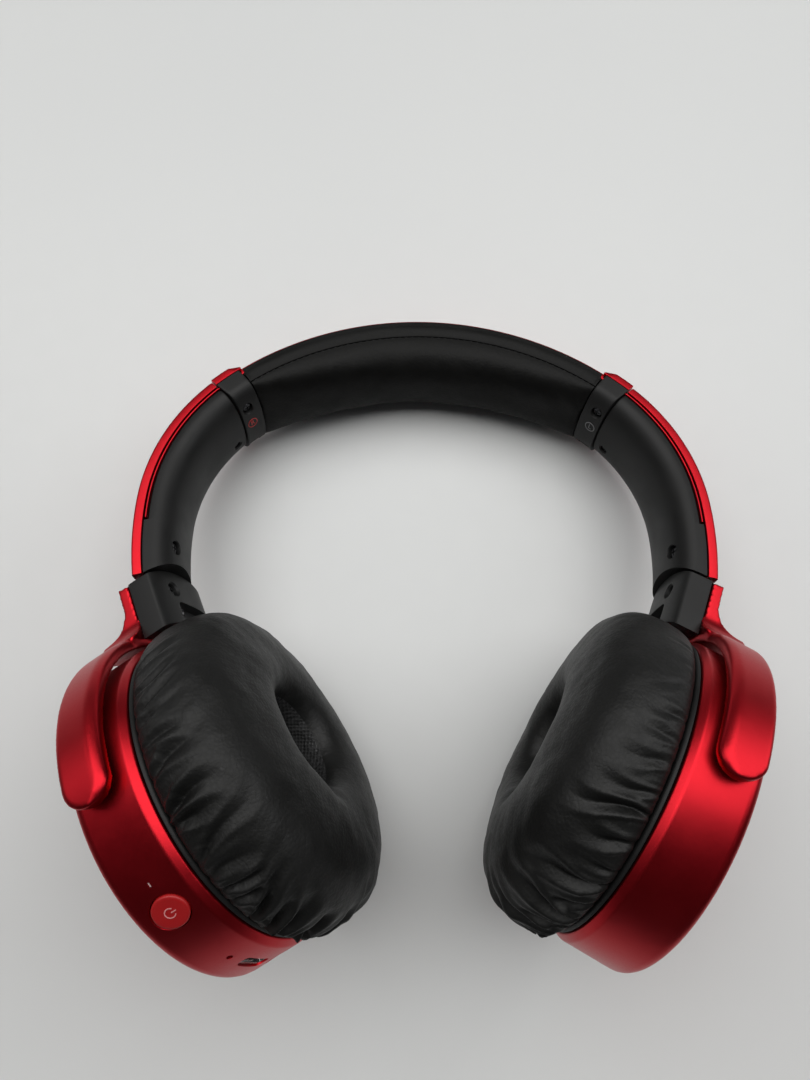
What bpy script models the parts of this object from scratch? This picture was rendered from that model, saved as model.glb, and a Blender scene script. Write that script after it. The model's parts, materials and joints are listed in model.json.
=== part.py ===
"""Folding over-ear headphones, lying face up with both cups turned towards the ear."""

import math

import bmesh
import bpy
from mathutils import Matrix, Vector

MM = 0.001

# Headband: a top arc that runs into a side arc, both measured to the band's outer face
TOP_RADIUS = 76.54
TOP_CENTRE_Y = -36.54
SIDE_RADIUS = 52.4
SIDE_CENTRE = (17.0, -19.4)
JOIN_ANGLE = 44.8
BAND_THICK = 0.8
BAND_HALF = 11.2
TRIM = 1.0
TRIM_ANGLE = 40.2
ARM_FLAT = 90.0
ARM_RADIUS = 90.0
SLOT_END = 96.2
GAP = 0.3

# Cushion under the band
CUSHION_ANGLE = 41.2
CUSHION_HALF = 11.4
CUSHION_MID = 14.8
CUSHION_END = 8.0
SLEEVE_WALL = 1.0

# Caps at the band's ends
CAP_FROM = 41.5
CAP_TO = 48.1
CAP_HALF = 12.0
CAP_DEPTH = 8.3

# Sliders
SLIDER_TO = 113.0
SLIDER_FROM = 48.5
STRIP_THICK = 2.3
SLIDER_HALF = 11.5
SLIDER_INNER = 44.5
SLIDER_AXIS = 49.6
SLIDER_END = 110.1

# Neck and yoke
SEAM_RADIUS = 34.0
SEAM_GAP = 0.6
NECK_LEAN = 24.5
NECK_TOP = 53.4
NECK_FLOOR = 37.6
NECK_IN = -3.3
NECK_OUT = 4.2
FORK_STRIP = (4.5, 7.2)
RING_INNER = 36.3
RING_OUTER = 39.2
RING_HALF = 4.4
RING_MIDDLE = -0.85
PRONG_ANGLE = 85.0
PIN_RADIUS = 1.6
PIN_UP = 3.3

# Cups
CUP_CENTRE = (48.6, -88.2)
TOE = 28.5
SWIVEL = {-1: 19.0, 1: 3.5}
DRUM_RADIUS = 35.0
DRUM_HALF = 7.0
DRUM_WALL = 1.8
PAD_RADIUS = 35.5
PAD_TOP = 27.3
EAR_RADIUS = 13.2

# How the whole object leans and rolls when it rests on its back edge and the two rear prongs
LEAN = 13.2
ROLL = 0.85

SIDE_NAMES = {-1: "right", 1: "left"}
AROUND = 36

for old in list(bpy.data.objects):
    bpy.data.objects.remove(old)

scene = bpy.context.scene
parts = bpy.data.collections.new("over_ear_headphones")
cutters = bpy.data.collections.new("cutters")
scene.collection.children.link(parts)
scene.collection.children.link(cutters)
cutters.hide_render = True


def material(name, colour, rough, metal=0.0):
    """A plain Principled surface."""
    made = bpy.data.materials.new(name)
    made.use_nodes = True
    made.diffuse_color = (*colour, 1)
    shader = made.node_tree.nodes["Principled BSDF"]
    shader.inputs["Base Color"].default_value = (*colour, 1)
    shader.inputs["Roughness"].default_value = rough
    shader.inputs["Metallic"].default_value = metal
    return made


RED = material("red anodised metal", (0.55, 0.012, 0.035), 0.3, 0.9)
BLACK = material("black plastic", (0.03, 0.03, 0.032), 0.5)
LEATHER = material("black leatherette", (0.016, 0.016, 0.017), 0.6)
FOAM = material("grey foam", (0.18, 0.18, 0.19), 0.95)
STEEL = material("steel", (0.45, 0.45, 0.47), 0.3, 1.0)
DARK = material("dark screw", (0.05, 0.05, 0.055), 0.35, 0.9)
MESH = material("speaker cloth", (0.02, 0.02, 0.022), 0.9)
FILM = material("diaphragm film", (0.35, 0.33, 0.28), 0.4)
BOARD = material("circuit board", (0.02, 0.12, 0.05), 0.5)
CELL = material("battery cell", (0.25, 0.27, 0.3), 0.4, 0.4)
LENS = material("indicator lens", (0.7, 0.72, 0.7), 0.2)

SPINE = Matrix.Rotation(math.radians(ROLL), 4, "Y") @ Matrix.Rotation(math.radians(-LEAN), 4, "X")


def turn(point, axis, degrees):
    """A rotation about a line through a point."""
    there = Matrix.Translation(point)
    return there @ Matrix.Rotation(math.radians(degrees), 4, axis) @ there.inverted()


def columns(x, y, z, origin):
    """A matrix from three directions and an origin."""
    made = Matrix.Identity(4)
    for i, direction in enumerate((x, y, z, origin)):
        for j in range(3):
            made[j][i] = direction[j]
    return made


class Side:
    """The frames of one side: the slider's, the neck's and the cup's."""

    def __init__(self, sign):
        self.sign = sign
        self.name = SIDE_NAMES[sign]
        toe = math.radians(TOE)
        lean = math.radians(NECK_LEAN)
        self.centre = Vector((sign * SIDE_CENTRE[0], SIDE_CENTRE[1], 0))
        self.neck_end = self.on_arc(SLIDER_AXIS, SLIDER_END, 0)
        self.cup = Vector((sign * CUP_CENTRE[0], CUP_CENTRE[1], 0))
        self.axis = Vector((sign * math.sin(lean), math.cos(lean), 0))
        self.root = self.neck_end - (NECK_TOP + SEAM_GAP / 2) * self.axis
        ear = Vector((-sign * math.cos(toe), math.sin(toe), 0))
        up = Vector((sign * math.sin(toe), math.cos(toe), 0))
        front = Vector((0, 0, 1))
        self.bend = math.asin(self.axis.dot(ear))
        self.root_at = ((self.root - self.cup).dot(ear), (self.root - self.cup).dot(up))
        swivel = turn(self.root, self.axis, sign * SWIVEL[sign])
        self.yoke = SPINE @ swivel @ columns(ear, up, front, self.cup)
        across = Vector((self.axis.y, -self.axis.x, 0)) * sign
        self.neck = SPINE @ swivel @ columns(across, self.axis, front, self.root)
        # Round pieces use a frame whose third direction is the drum's axis
        self.round = SPINE @ swivel @ columns(up * -sign, front, ear, self.cup)
        self.tilt_axis = self.yoke @ Vector((RING_MIDDLE, PIN_UP, 0))
        self.slide_axis = SPINE @ self.centre

    def on_arc(self, radius, angle, w):
        """A point of the arm's curve, which opens to a flatter arc below its widest point."""
        x, y = SIDE_CENTRE
        if angle > ARM_FLAT:
            radius += ARM_RADIUS - SIDE_RADIUS
            x -= ARM_RADIUS - SIDE_RADIUS
            angle = ARM_FLAT + (angle - ARM_FLAT) * SIDE_RADIUS / ARM_RADIUS
        a = math.radians(angle)
        return Vector((self.sign * (x + radius * math.sin(a)), y + radius * math.cos(a), w))

    def neck_point(self, b, a):
        """A point of the neck's own frame, in the ring's (along the ear's axis, up)."""
        sine, cosine = math.sin(self.bend), math.cos(self.bend)
        return (self.root_at[0] + a * sine - b * cosine, self.root_at[1] + a * cosine + b * sine)

    def seat(self, radius, angle, w, tip):
        """A frame on an arm's inner face: y into the arm, tipped towards its front edge by an angle."""
        out = (self.on_arc(1, angle, 0) - self.on_arc(0, angle, 0)).normalized()
        across = Vector((0, 0, 1))
        turned = math.radians(tip)
        into = out * math.cos(turned) - across * math.sin(turned)
        side_way = out * math.sin(turned) + across * math.cos(turned)
        return SPINE @ columns(side_way.cross(into), into, side_way, self.on_arc(radius, angle, w))

    def on_line(self, offset, angle, w):
        """A point off the band's outer line, on whichever of its two arcs has that angle."""
        if abs(angle) > JOIN_ANGLE:
            return self.on_arc(SIDE_RADIUS + offset, angle, w)
        a = math.radians(angle)
        radius = TOP_RADIUS + offset
        return Vector((self.sign * radius * math.sin(a), TOP_CENTRE_Y + radius * math.cos(a), w))


def crown(low, wide, rise):
    """The rounded inner face of the arms, the necks and the caps, from one side wall to the other."""
    half = [(low + rise, wide), (low + 0.58 * rise, wide - 0.9), (low + 0.32 * rise, wide - 3.1)]
    half += [(low + 0.1 * rise, wide - 6.4), (low, 1.6)]
    return half + [(r, -w) for r, w in reversed(half)]


def add(name, mesh, origin, colour, home=parts):
    """A named object whose mesh is in world millimetres, its origin moved to a given point."""
    mesh.transform(Matrix.Scale(MM, 4) @ Matrix.Translation(-origin))
    made = bpy.data.objects.new(name, mesh)
    made.location = origin * MM
    home.objects.link(made)
    if colour:
        mesh.materials.append(colour)
    if home is cutters:
        made.hide_render = True
        made.display_type = "WIRE"
    return made


def loft(name, rings, frame, colour, origin=None, home=parts):
    """One closed body through a row of rings, each the same number of points."""
    build = bmesh.new()
    rows = [[build.verts.new(frame @ Vector(point)) for point in ring] for ring in rings]
    count = len(rows[0])
    for row, after in zip(rows, rows[1:]):
        for i in range(count):
            j = (i + 1) % count
            build.faces.new((row[i], row[j], after[j], after[i]))
    build.faces.new(rows[0])
    build.faces.new(rows[-1])
    bmesh.ops.recalc_face_normals(build, faces=build.faces)
    volume = build.calc_volume(signed=True)
    if volume < 0:
        bmesh.ops.reverse_faces(build, faces=build.faces)
    mesh = bpy.data.meshes.new(name)
    build.to_mesh(mesh)
    build.free()
    middle = origin if origin is not None else frame @ Vector((0, 0, 0))
    return add(name, mesh, middle, colour, home)


def circle(radius, height, middle, along, around=24):
    """A ring of points about a line, along one of the frame's three directions."""
    ring = []
    first, second = [i for i in range(3) if i != along]
    for i in range(around):
        a = 2 * math.pi * i / around
        point = list(middle)
        point[first] += radius * math.cos(a)
        point[second] += radius * math.sin(a)
        point[along] += height
        ring.append(tuple(point))
    return ring


def rod(name, steps, middle, along, frame, colour, origin=None, home=parts, around=24):
    """A turned piece with a radius at each height."""
    rings = [circle(radius, height, middle, along, around) for radius, height in steps]
    return loft(name, rings, frame, colour, origin, home)


def block(name, low, high, frame, colour, origin=None, home=parts):
    """A box between two corners of a frame."""
    rings = []
    for z in (low[2], high[2]):
        rings.append(
            [(low[0], low[1], z), (high[0], low[1], z), (high[0], high[1], z), (low[0], high[1], z)]
        )
    return loft(name, rings, frame, colour, origin, home)


def turned(name, profile, side, colour, steps=AROUND):
    """A profile of (radius, height) screwed round the drum's axis, top to bottom on its outer side."""
    mesh = bpy.data.meshes.new(name)
    points = [(radius * MM, 0, height * MM) for radius, height in profile]
    closed = profile[0][0] > 0.001 or profile[-1][0] > 0.001
    edges = [(i, i + 1) for i in range(len(points) - 1)]
    if closed:
        edges.append((len(points) - 1, 0))
    mesh.from_pydata(points, edges, [])
    made = bpy.data.objects.new(name, mesh)
    mesh.materials.append(colour)
    frame = side.round.copy()
    frame.translation = side.round.translation * MM
    made.matrix_world = frame
    parts.objects.link(made)
    screw = made.modifiers.new("Turn", "SCREW")
    screw.steps = steps
    screw.render_steps = steps
    screw.use_merge_vertices = True
    screw.merge_threshold = 0.00001
    return made


def cut(target, cutter, operation="DIFFERENCE"):
    """A live exact Boolean."""
    made = target.modifiers.new("Cut " + cutter.name, "BOOLEAN")
    made.operation = operation
    made.solver = "EXACT"
    made.object = cutter
    return made


def screw_and_hole(name, target, middle, along, inward, frame, origin, head=1.2, long=2.4):
    """A small screw sunk in a counterbore of the target, and the counterbore."""
    sink = 1.1 * inward
    steps = [(head + 0.3, -1.4 * inward), (head + 0.3, sink), (0.9, sink), (0.9, (long + 1.4) * inward)]
    hole = rod("hole_" + name, steps, middle, along, frame, None, origin, cutters, 16)
    cut(target, hole)
    low = 0.2 * inward
    body = [(head - 0.3, low), (head, low + 0.2 * inward), (head, sink - 0.3 * inward)]
    body += [(0.6, sink - 0.2 * inward), (0.6, (long + 1.0) * inward)]
    return rod(name, body, middle, along, frame, DARK, origin, parts, 16)


def spread(first, last, count):
    return [first + (last - first) * i / (count - 1) for i in range(count)]


LEFT_SIDE = Side(1)
RIGHT_SIDE = Side(-1)
BAND_ORIGIN = SPINE @ Vector((0, 0, 0))


def band():
    """The sprung steel band from the end of one slot, over the top, to the end of the other."""
    places = [(RIGHT_SIDE, angle, 0) for angle in spread(SLOT_END, JOIN_ANGLE, 13)]
    places += [(LEFT_SIDE, -TRIM_ANGLE - 0.2, 0)]
    places += [(LEFT_SIDE, angle, TRIM) for angle in spread(-TRIM_ANGLE, TRIM_ANGLE, 27)]
    places += [(LEFT_SIDE, TRIM_ANGLE + 0.2, 0)]
    places += [(LEFT_SIDE, angle, 0) for angle in spread(JOIN_ANGLE, SLOT_END, 13)]
    rings = []
    for side, angle, high in places:
        section = [(high, -BAND_HALF), (high, BAND_HALF), (-BAND_THICK, BAND_HALF), (-BAND_THICK, -BAND_HALF)]
        rings.append([side.on_line(offset, angle, w) for offset, w in section])
    return loft("headband_band", rings, SPINE, RED, BAND_ORIGIN)


def cushion_ring(angle, inset):
    """The cushion's cross section at one angle: flat against the band, round underneath."""
    share = abs(angle) / CUSHION_ANGLE
    deep = CUSHION_END + (CUSHION_MID - CUSHION_END) * (1 - share**3.0)
    top = -BAND_THICK - GAP - inset
    low = -deep + inset
    half = CUSHION_HALF - inset
    middle = (top + low) / 2 - 0.6
    ring = [(top, -half + 0.6), (top, half - 0.6)]
    for a in spread(0, 180, 11):
        c = math.cos(math.radians(a))
        s = math.sin(math.radians(a))
        wide = half * math.copysign(abs(c) ** 0.7, c)
        ring.append((middle + 1.0 - (middle + 1.0 - low) * abs(s) ** 0.85, wide))
    return [LEFT_SIDE.on_line(offset, angle, w) for offset, w in ring]


def cushion():
    """A soft sleeve, open at both ends, over a foam core."""
    reach = spread(-CUSHION_ANGLE, CUSHION_ANGLE, 19)
    sleeve = loft("headband_cushion_sleeve", [cushion_ring(a, 0) for a in reach], SPINE, LEATHER, BAND_ORIGIN)
    longer = [-CUSHION_ANGLE - 1, *reach[1:-1], CUSHION_ANGLE + 1]
    room = [cushion_ring(max(-CUSHION_ANGLE, min(CUSHION_ANGLE, a)), SLEEVE_WALL) for a in longer]
    room[0] = [p + (p - q) * 0.2 for p, q in zip(room[0], room[1])]
    room[-1] = [p + (p - q) * 0.2 for p, q in zip(room[-1], room[-2])]
    hollow = loft("cushion_room", room, SPINE, None, BAND_ORIGIN, cutters)
    cut(sleeve, hollow)
    core = spread(-CUSHION_ANGLE + 0.6, CUSHION_ANGLE - 0.6, 19)
    loft(
        "headband_cushion_foam",
        [cushion_ring(a, SLEEVE_WALL + GAP) for a in core],
        SPINE,
        FOAM,
        BAND_ORIGIN,
    )


def cap(side):
    """The black cap that holds one end of the cushion, its red cover and its screw."""
    high = 0.3
    floor = -BAND_THICK - GAP
    low = -CAP_DEPTH
    wide = CAP_HALF
    slot = BAND_HALF + GAP
    outline = [
        (high, -wide),
        (high, -slot),
        (floor, -slot),
        (floor, slot),
        (high, slot),
        (high, wide),
        *crown(low, wide, 3.4),
    ]
    rings = [[side.on_line(r, a, w) for r, w in outline] for a in (CAP_FROM, 43.2, JOIN_ANGLE, 46.5, CAP_TO)]
    body = loft("band_end_cap_" + side.name, rings, SPINE, BLACK, BAND_ORIGIN)
    rings = []
    full = STRIP_THICK
    for angle, thick in ((CAP_FROM - 0.7, 0.6), (CAP_FROM + 1.5, full), (JOIN_ANGLE, full), (CAP_TO, full)):
        inner = 0.6
        edge = min(0.5, thick / 3)
        shape = [
            (inner, -wide),
            (inner + thick - edge, -wide),
            (inner + thick, -wide + edge),
            (inner + thick, wide - edge),
            (inner + thick - edge, wide),
            (inner, wide),
        ]
        rings.append([side.on_line(r, angle, w) for r, w in shape])
    loft("band_end_cover_" + side.name, rings, SPINE, RED, BAND_ORIGIN)
    middle = (CAP_FROM + CAP_TO) / 2
    out = side.on_line(1, middle, 0) - side.on_line(0, middle, 0)
    along = Vector((0, 0, 1)).cross(out)
    seat = side.on_line(low, middle, 6.4)
    frame = SPINE @ columns(along, out, Vector((0, 0, 1)), seat)
    screw_and_hole("band_end_screw_" + side.name, body, (0, 0, 0), 1, 1, frame, BAND_ORIGIN)
    notch = block(
        "cap_notch_" + side.name, (-2.2, -1.0, -17.6), (2.2, 1.7, -14.6), frame, None, BAND_ORIGIN, cutters
    )
    cut(body, notch)


def slider(side):
    """The sliding arm: a red strip outside, a black cover inside, the band's slot between them."""
    origin = side.slide_axis
    start = SLIDER_FROM
    wide = SLIDER_HALF
    inner = SIDE_RADIUS + GAP
    outer = inner + STRIP_THICK
    shape = [
        (inner, -wide),
        (outer - 0.5, -wide),
        (outer, -wide + 0.5),
        (outer, wide - 0.5),
        (outer - 0.5, wide),
        (inner, wide),
    ]
    rings = [[side.on_arc(r, a, w) for r, w in shape] for a in spread(start, SLIDER_TO, 18)]
    strip = loft("slider_strip_" + side.name, rings, SPINE, RED, origin)
    slot = SIDE_RADIUS - BAND_THICK - GAP
    closed = SIDE_RADIUS
    places = [(a, slot) for a in spread(start, SLOT_END + 0.8, 13)]
    places += [(a, closed) for a in spread(SLOT_END + 0.9, SLIDER_TO, 5)]
    rings = []
    for angle, top in places:
        low = SLIDER_INNER
        outline = [(top, -wide), (top, wide), *crown(low, wide, 3.0)]
        rings.append([side.on_arc(r, angle, w) for r, w in outline])
    cover = loft("slider_cover_" + side.name, rings, SPINE, BLACK, origin)
    neck = side.neck
    steps = []
    for a in spread(0, 180, 25):
        angle = math.radians(a)
        radius = SEAM_RADIUS + SEAM_GAP
        steps.append((max(0.05, radius * math.sin(angle)), radius * math.cos(angle)))
    middle = (0, NECK_TOP - SEAM_RADIUS, 0)
    ball = rod("slider_end_" + side.name, steps, middle, 1, neck, None, origin, cutters, 32)
    cut(strip, ball)
    cut(cover, ball)
    for place, angle, w, rise, head, deep in (
        ("upper", 52.8, -4.8, 0.3, 0.8, 1.4),
        ("lower", 104.2, 7.0, 0.5, 1.3, 2.0),
    ):
        frame = side.seat(SLIDER_INNER + rise, angle, w, 14 if w > 0 else -10)
        name = "slider_screw_" + place + "_" + side.name
        screw_and_hole(name, cover, (0, 0, 0), 1, 1, frame, origin, head, deep)
    out = side.on_arc(1, 60, 0) - side.on_arc(0, 60, 0)
    along = Vector((0, 0, 1)).cross(out)
    frame = SPINE @ columns(along, out, Vector((0, 0, 1)), side.on_arc(slot, 60, 0))
    pocket = block("detent_pocket_" + side.name, (-5, -1.3, -3), (5, 1, 3), frame, None, origin, cutters)
    cut(cover, pocket)
    leaf = [(-4.6, -0.95), (-4.6, -0.65), (-1.2, -0.45), (0, -0.12), (1.2, -0.45), (4.6, -0.65)]
    leaf += [(4.6, -0.95), (1.2, -0.75), (0, -0.45), (-1.2, -0.75)]
    rings = [[(x, y, z) for x, y in leaf] for z in (-2.6, 2.6)]
    loft("slider_detent_" + side.name, rings, frame, STEEL, origin)
    bore = [(1.6, NECK_TOP - 2), (1.6, 57.8)]
    hole = rod("pin_bore_" + side.name, bore, (0, 0, 0), 1, neck, None, origin, cutters, 16)
    cut(cover, hole)


def yoke(side):
    """The red fork: a half ring round the drum, and the strip up the outside of the neck."""
    frame = side.yoke
    origin = SPINE @ side.cup
    rings = []
    far = math.degrees(RING_HALF / ((RING_INNER + RING_OUTER) / 2))
    places = []
    for t in (84, 66, 45, 22):
        places.append((-PRONG_ANGLE - far * math.sin(math.radians(t)), math.cos(math.radians(t))))
    places += [(a, 1.0) for a in spread(-PRONG_ANGLE, PRONG_ANGLE, 25)]
    for t in (22, 45, 66, 84):
        places.append((PRONG_ANGLE + far * math.sin(math.radians(t)), math.cos(math.radians(t))))
    for angle, share in places:
        half = RING_HALF * share
        soft = min(1.3, half * 0.6)
        back = min(0.9, half * 0.5)
        a = math.radians(angle)
        rough = RING_INNER - 0.8
        shape = [
            (rough, RING_MIDDLE - half),
            (RING_OUTER - back, RING_MIDDLE - half),
            (RING_OUTER, RING_MIDDLE - half + back),
            (RING_OUTER, RING_MIDDLE + half - soft),
            (RING_OUTER - soft * 0.8, RING_MIDDLE + half),
            (rough, RING_MIDDLE + half),
        ]
        rings.append([(n, r * math.cos(a), r * math.sin(a)) for r, n in shape])
    ring = loft("yoke_" + side.name, rings, frame, RED, origin)

    neck_point = side.neck_point
    low, high = FORK_STRIP
    outline = [neck_point(low, 51.2), neck_point(high, 51.2), neck_point(high, 47.4)]
    foot = -4.9
    reach = neck_point(high, 46.4)[0] - foot
    for t in spread(0, 90, 7):
        angle = math.radians(t)
        outline.append((foot + reach * math.cos(angle), 46.0 - 6.85 * math.sin(angle)))
    outline += [(-5.2, 38.5), (-5.2, 34.2), (3.5, 34.2), neck_point(low, 37.0)]
    rings = [[(n, u, f) for n, u in outline] for f in (-11.2, 11.2)]
    bridge = loft("yoke_bridge_" + side.name, rings, frame, None, origin, cutters)
    cut(ring, bridge, "UNION")
    wide = RING_INNER / math.cos(math.pi / 60)
    room = [(wide, -12.0), (wide, 10.0)]
    drum_room = rod("drum_room_" + side.name, room, (0, 0, 0), 0, frame, None, origin, cutters, 60)
    cut(ring, drum_room)
    for sign, place in ((1, "front"), (-1, "rear")):
        bore = [(PIN_RADIUS + GAP, sign * 35.7), (PIN_RADIUS + GAP, sign * 38.0)]
        centre = (RING_MIDDLE, PIN_UP, 0)
        hole = rod("prong_bore_%s_%s" % (place, side.name), bore, centre, 2, frame, None, origin, cutters, 16)
        cut(ring, hole)
        pin = [(PIN_RADIUS, sign * 32.3), (PIN_RADIUS, sign * 37.7)]
        rod("pivot_pin_%s_%s" % (place, side.name), pin, centre, 2, frame, STEEL, origin, parts, 16)


def neck_cover(side):
    """The black cover on the inside of the neck, its domed top under the slider's end."""
    frame = side.neck
    origin = SPINE @ side.root

    def outline(high, a):
        low = NECK_IN
        wide = 11.3
        return [(b, a, f) for b, f in [(high, -wide), (high, wide), *crown(low, wide, 2.4)]]

    high = NECK_OUT
    rings = [outline(high, 32.0), outline(high, 44.0), outline(high, 51.45), outline(high + 2.4, 51.5)]
    rings += [outline(high + 2.0, 52.3), outline(high + 0.4, 54.4)]
    cover = loft("neck_cover_" + side.name, rings, frame, BLACK, origin)
    steps = []
    for a in spread(0, 180, 25):
        angle = math.radians(a)
        steps.append((max(0.05, SEAM_RADIUS * math.sin(angle)), SEAM_RADIUS * math.cos(angle)))
    middle = (0, NECK_TOP - SEAM_RADIUS, 0)
    dome = rod("neck_dome_" + side.name, steps, middle, 1, frame, None, origin, cutters, 32)
    cut(cover, dome, "INTERSECT")
    floor = [(NECK_FLOOR, -12.0), (NECK_FLOOR, 26.0)]
    room = rod("neck_floor_" + side.name, floor, (0, 0, 0), 0, side.yoke, None, origin, cutters, 60)
    cut(cover, room)
    bore = [(1.6, 42.6), (1.6, 56)]
    hole = rod("neck_bore_" + side.name, bore, (0, 0, 0), 1, frame, None, origin, cutters, 16)
    cut(cover, hole)
    notch = block(
        "neck_notch_" + side.name, (-5.0, 33.0, -9.6), (-0.6, 42.4, -5.2), frame, None, origin, cutters
    )
    cut(cover, notch)
    pin = [(1.3, 43.0), (1.3, 57.4)]
    rod("swivel_pin_" + side.name, pin, (0, 0, 0), 1, frame, STEEL, origin, parts, 16)
    seat = (NECK_IN + 0.25, 48.0, 4.6)
    screw_and_hole("neck_screw_" + side.name, cover, seat, 0, 1, frame, origin, 1.2, 2.2)


def cup(side):
    """The drum, what stands in it, and the pad on its rim."""
    name = side.name
    origin = side.tilt_axis
    outer = DRUM_RADIUS
    inner = outer - DRUM_WALL
    half = DRUM_HALF
    profile = [
        (inner, half),
        (outer - 0.8, half),
        (outer, half - 1.5),
        (outer, -half + 2.0),
        (outer - 0.6, -half + 0.6),
        (outer - 2.0, -half),
        (26.0, -half),
        (25.6, -half + 0.4),
        (0, -half + 0.4),
        (0, -half + 2.0),
        (inner - 1.0, -half + 2.0),
        (inner, -half + 3.0),
    ]
    housing = turned("cup_housing_" + name, profile, side, RED, 48)
    for sign, place in ((1, "front"), (-1, "rear")):
        bore = [(PIN_RADIUS + GAP, sign * 31.0), (PIN_RADIUS + GAP, sign * 36.0)]
        label = "housing_bore_%s_%s" % (place, name)
        hole = rod(label, bore, (RING_MIDDLE, PIN_UP, 0), 2, side.yoke, None, origin, cutters, 16)
        cut(housing, hole)
    profile = [
        (32.6, half + 1.7),
        (33.9, half + 1.5),
        (34.1, half + 0.9),
        (33.9, half + 0.3),
        (32.7, half + 0.3),
        (32.7, half - 2.2),
        (31.2, half - 2.2),
        (31.2, half + 0.3),
        (14.4, half + 0.3),
        (14.4, half + 1.7),
    ]
    turned("cup_baffle_" + name, profile, side, BLACK)
    profile = [
        (24.0, PAD_TOP - 0.1),
        (28.2, PAD_TOP - 1.1),
        (31.4, PAD_TOP - 3.0),
        (33.8, PAD_TOP - 5.9),
        (PAD_RADIUS - 0.3, PAD_TOP - 9.2),
        (PAD_RADIUS, PAD_TOP - 12.6),
        (PAD_RADIUS - 0.3, half + 4.2),
        (PAD_RADIUS - 1.0, half + 2.0),
        (EAR_RADIUS, half + 2.0),
        (EAR_RADIUS - 0.1, half + 12.5),
        (EAR_RADIUS + 0.3, PAD_TOP - 4.2),
        (EAR_RADIUS + 1.5, PAD_TOP - 1.8),
        (EAR_RADIUS + 3.6, PAD_TOP - 0.5),
        (EAR_RADIUS + 7.0, PAD_TOP),
    ]
    turned("ear_pad_" + name, profile, side, LEATHER)
    profile = [(0, half + 3.4), (8.0, half + 3.1), (12.8, half + 2.4), (12.8, half + 2.0), (0, half + 2.0)]
    turned("speaker_cloth_" + name, profile, side, MESH, 24)
    profile = [
        (14.8, half),
        (20.0, half),
        (20.0, half - 1.6),
        (17.0, half - 3.4),
        (12.0, half - 5.2),
        (9.9, half - 5.2),
        (9.9, half - 4.2),
        (14.8, half - 2.2),
    ]
    turned("driver_frame_" + name, profile, side, BLACK, 24)
    profile = [(0, half + 0.6), (5.0, half + 0.2), (7.5, half - 0.8), (11.0, half - 0.2), (14.2, half - 0.6)]
    profile += [(14.2, half - 1.0), (11.0, half - 0.6), (7.5, half - 1.2), (5.0, half - 0.2), (0, half + 0.2)]
    turned("driver_diaphragm_" + name, profile, side, FILM, 24)
    profile = [(0, half - 3.0), (9.2, half - 3.0), (9.5, half - 3.3), (9.5, half - 7.7), (9.2, half - 8.0)]
    profile += [(0, half - 8.0)]
    turned("driver_magnet_" + name, profile, side, STEEL, 24)


def wall_frame(side, angle, height):
    """A frame on the drum's wall: out of the wall, round it, and along the drum's axis."""
    a = math.radians(angle)
    u = math.cos(a)
    f = math.sin(a)
    out = Vector((0, u, f))
    round_wall = Vector((0, -f, u))
    ear = Vector((1, 0, 0))
    return side.yoke @ columns(out, round_wall, ear, Vector((height, DRUM_RADIUS * u, DRUM_RADIUS * f)))


def controls(side):
    """The button, lamp, microphone and sockets in the wall of one drum, and the boards behind them."""
    housing = bpy.data.objects["cup_housing_" + side.name]
    origin = side.tilt_axis
    frame = wall_frame(side, 127.5, 0.0)
    hole = rod("button_hole", [(3.8, -3.0), (3.8, 1.0)], (0, 0, 0), 0, frame, None, origin, cutters, 32)
    cut(housing, hole)
    steps = [(3.2, 0.45), (3.5, 0.2), (3.5, -2.2), (4.25, -2.5), (4.25, -3.1)]
    rod("power_button", steps, (0, 0, 0), 0, frame, RED, None, parts, 32)
    frame = wall_frame(side, 117.5, 0.0)
    hole = rod("lamp_hole", [(0.8, -3.0), (0.8, 1.0)], (0, 0, 0), 0, frame, None, origin, cutters, 12)
    cut(housing, hole)
    rod("status_lamp", [(0.5, -2.6), (0.5, -0.2)], (0, 0, 0), 0, frame, LENS, origin, parts, 12)
    frame = wall_frame(side, 154.5, 0.0)
    hole = rod("microphone_hole", [(0.6, -3.0), (0.6, 1.0)], (0, 0, 0), 0, frame, None, origin, cutters, 12)
    cut(housing, hole)
    block("microphone", (-4.2, -1.8, -1.4), (-2.6, 1.8, 1.4), frame, BLACK, origin)
    frame = wall_frame(side, 167.0, 0.0)
    hole = block("usb_hole", (-3.5, -3.9, -1.45), (1.0, 3.9, 1.45), frame, None, origin, cutters)
    cut(housing, hole)
    shell = block("usb_socket", (-7.0, -3.6, -1.15), (-0.4, 3.6, 1.15), frame, STEEL, origin)
    mouth = block("usb_mouth", (-5.0, -3.2, -0.8), (1.0, 3.2, 0.8), frame, None, origin, cutters)
    cut(shell, mouth)
    frame = wall_frame(side, 182.0, 0.0)
    hole = rod("jack_hole", [(2.5, -3.0), (2.5, 1.0)], (0, 0, 0), 0, frame, None, origin, cutters, 24)
    cut(housing, hole)
    jack = rod("audio_socket", [(2.2, -8.0), (2.2, -0.3)], (0, 0, 0), 0, frame, BLACK, origin, parts, 24)
    mouth = rod("jack_mouth", [(1.75, -7.0), (1.75, 1.0)], (0, 0, 0), 0, frame, None, origin, cutters, 16)
    cut(jack, mouth)


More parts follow.
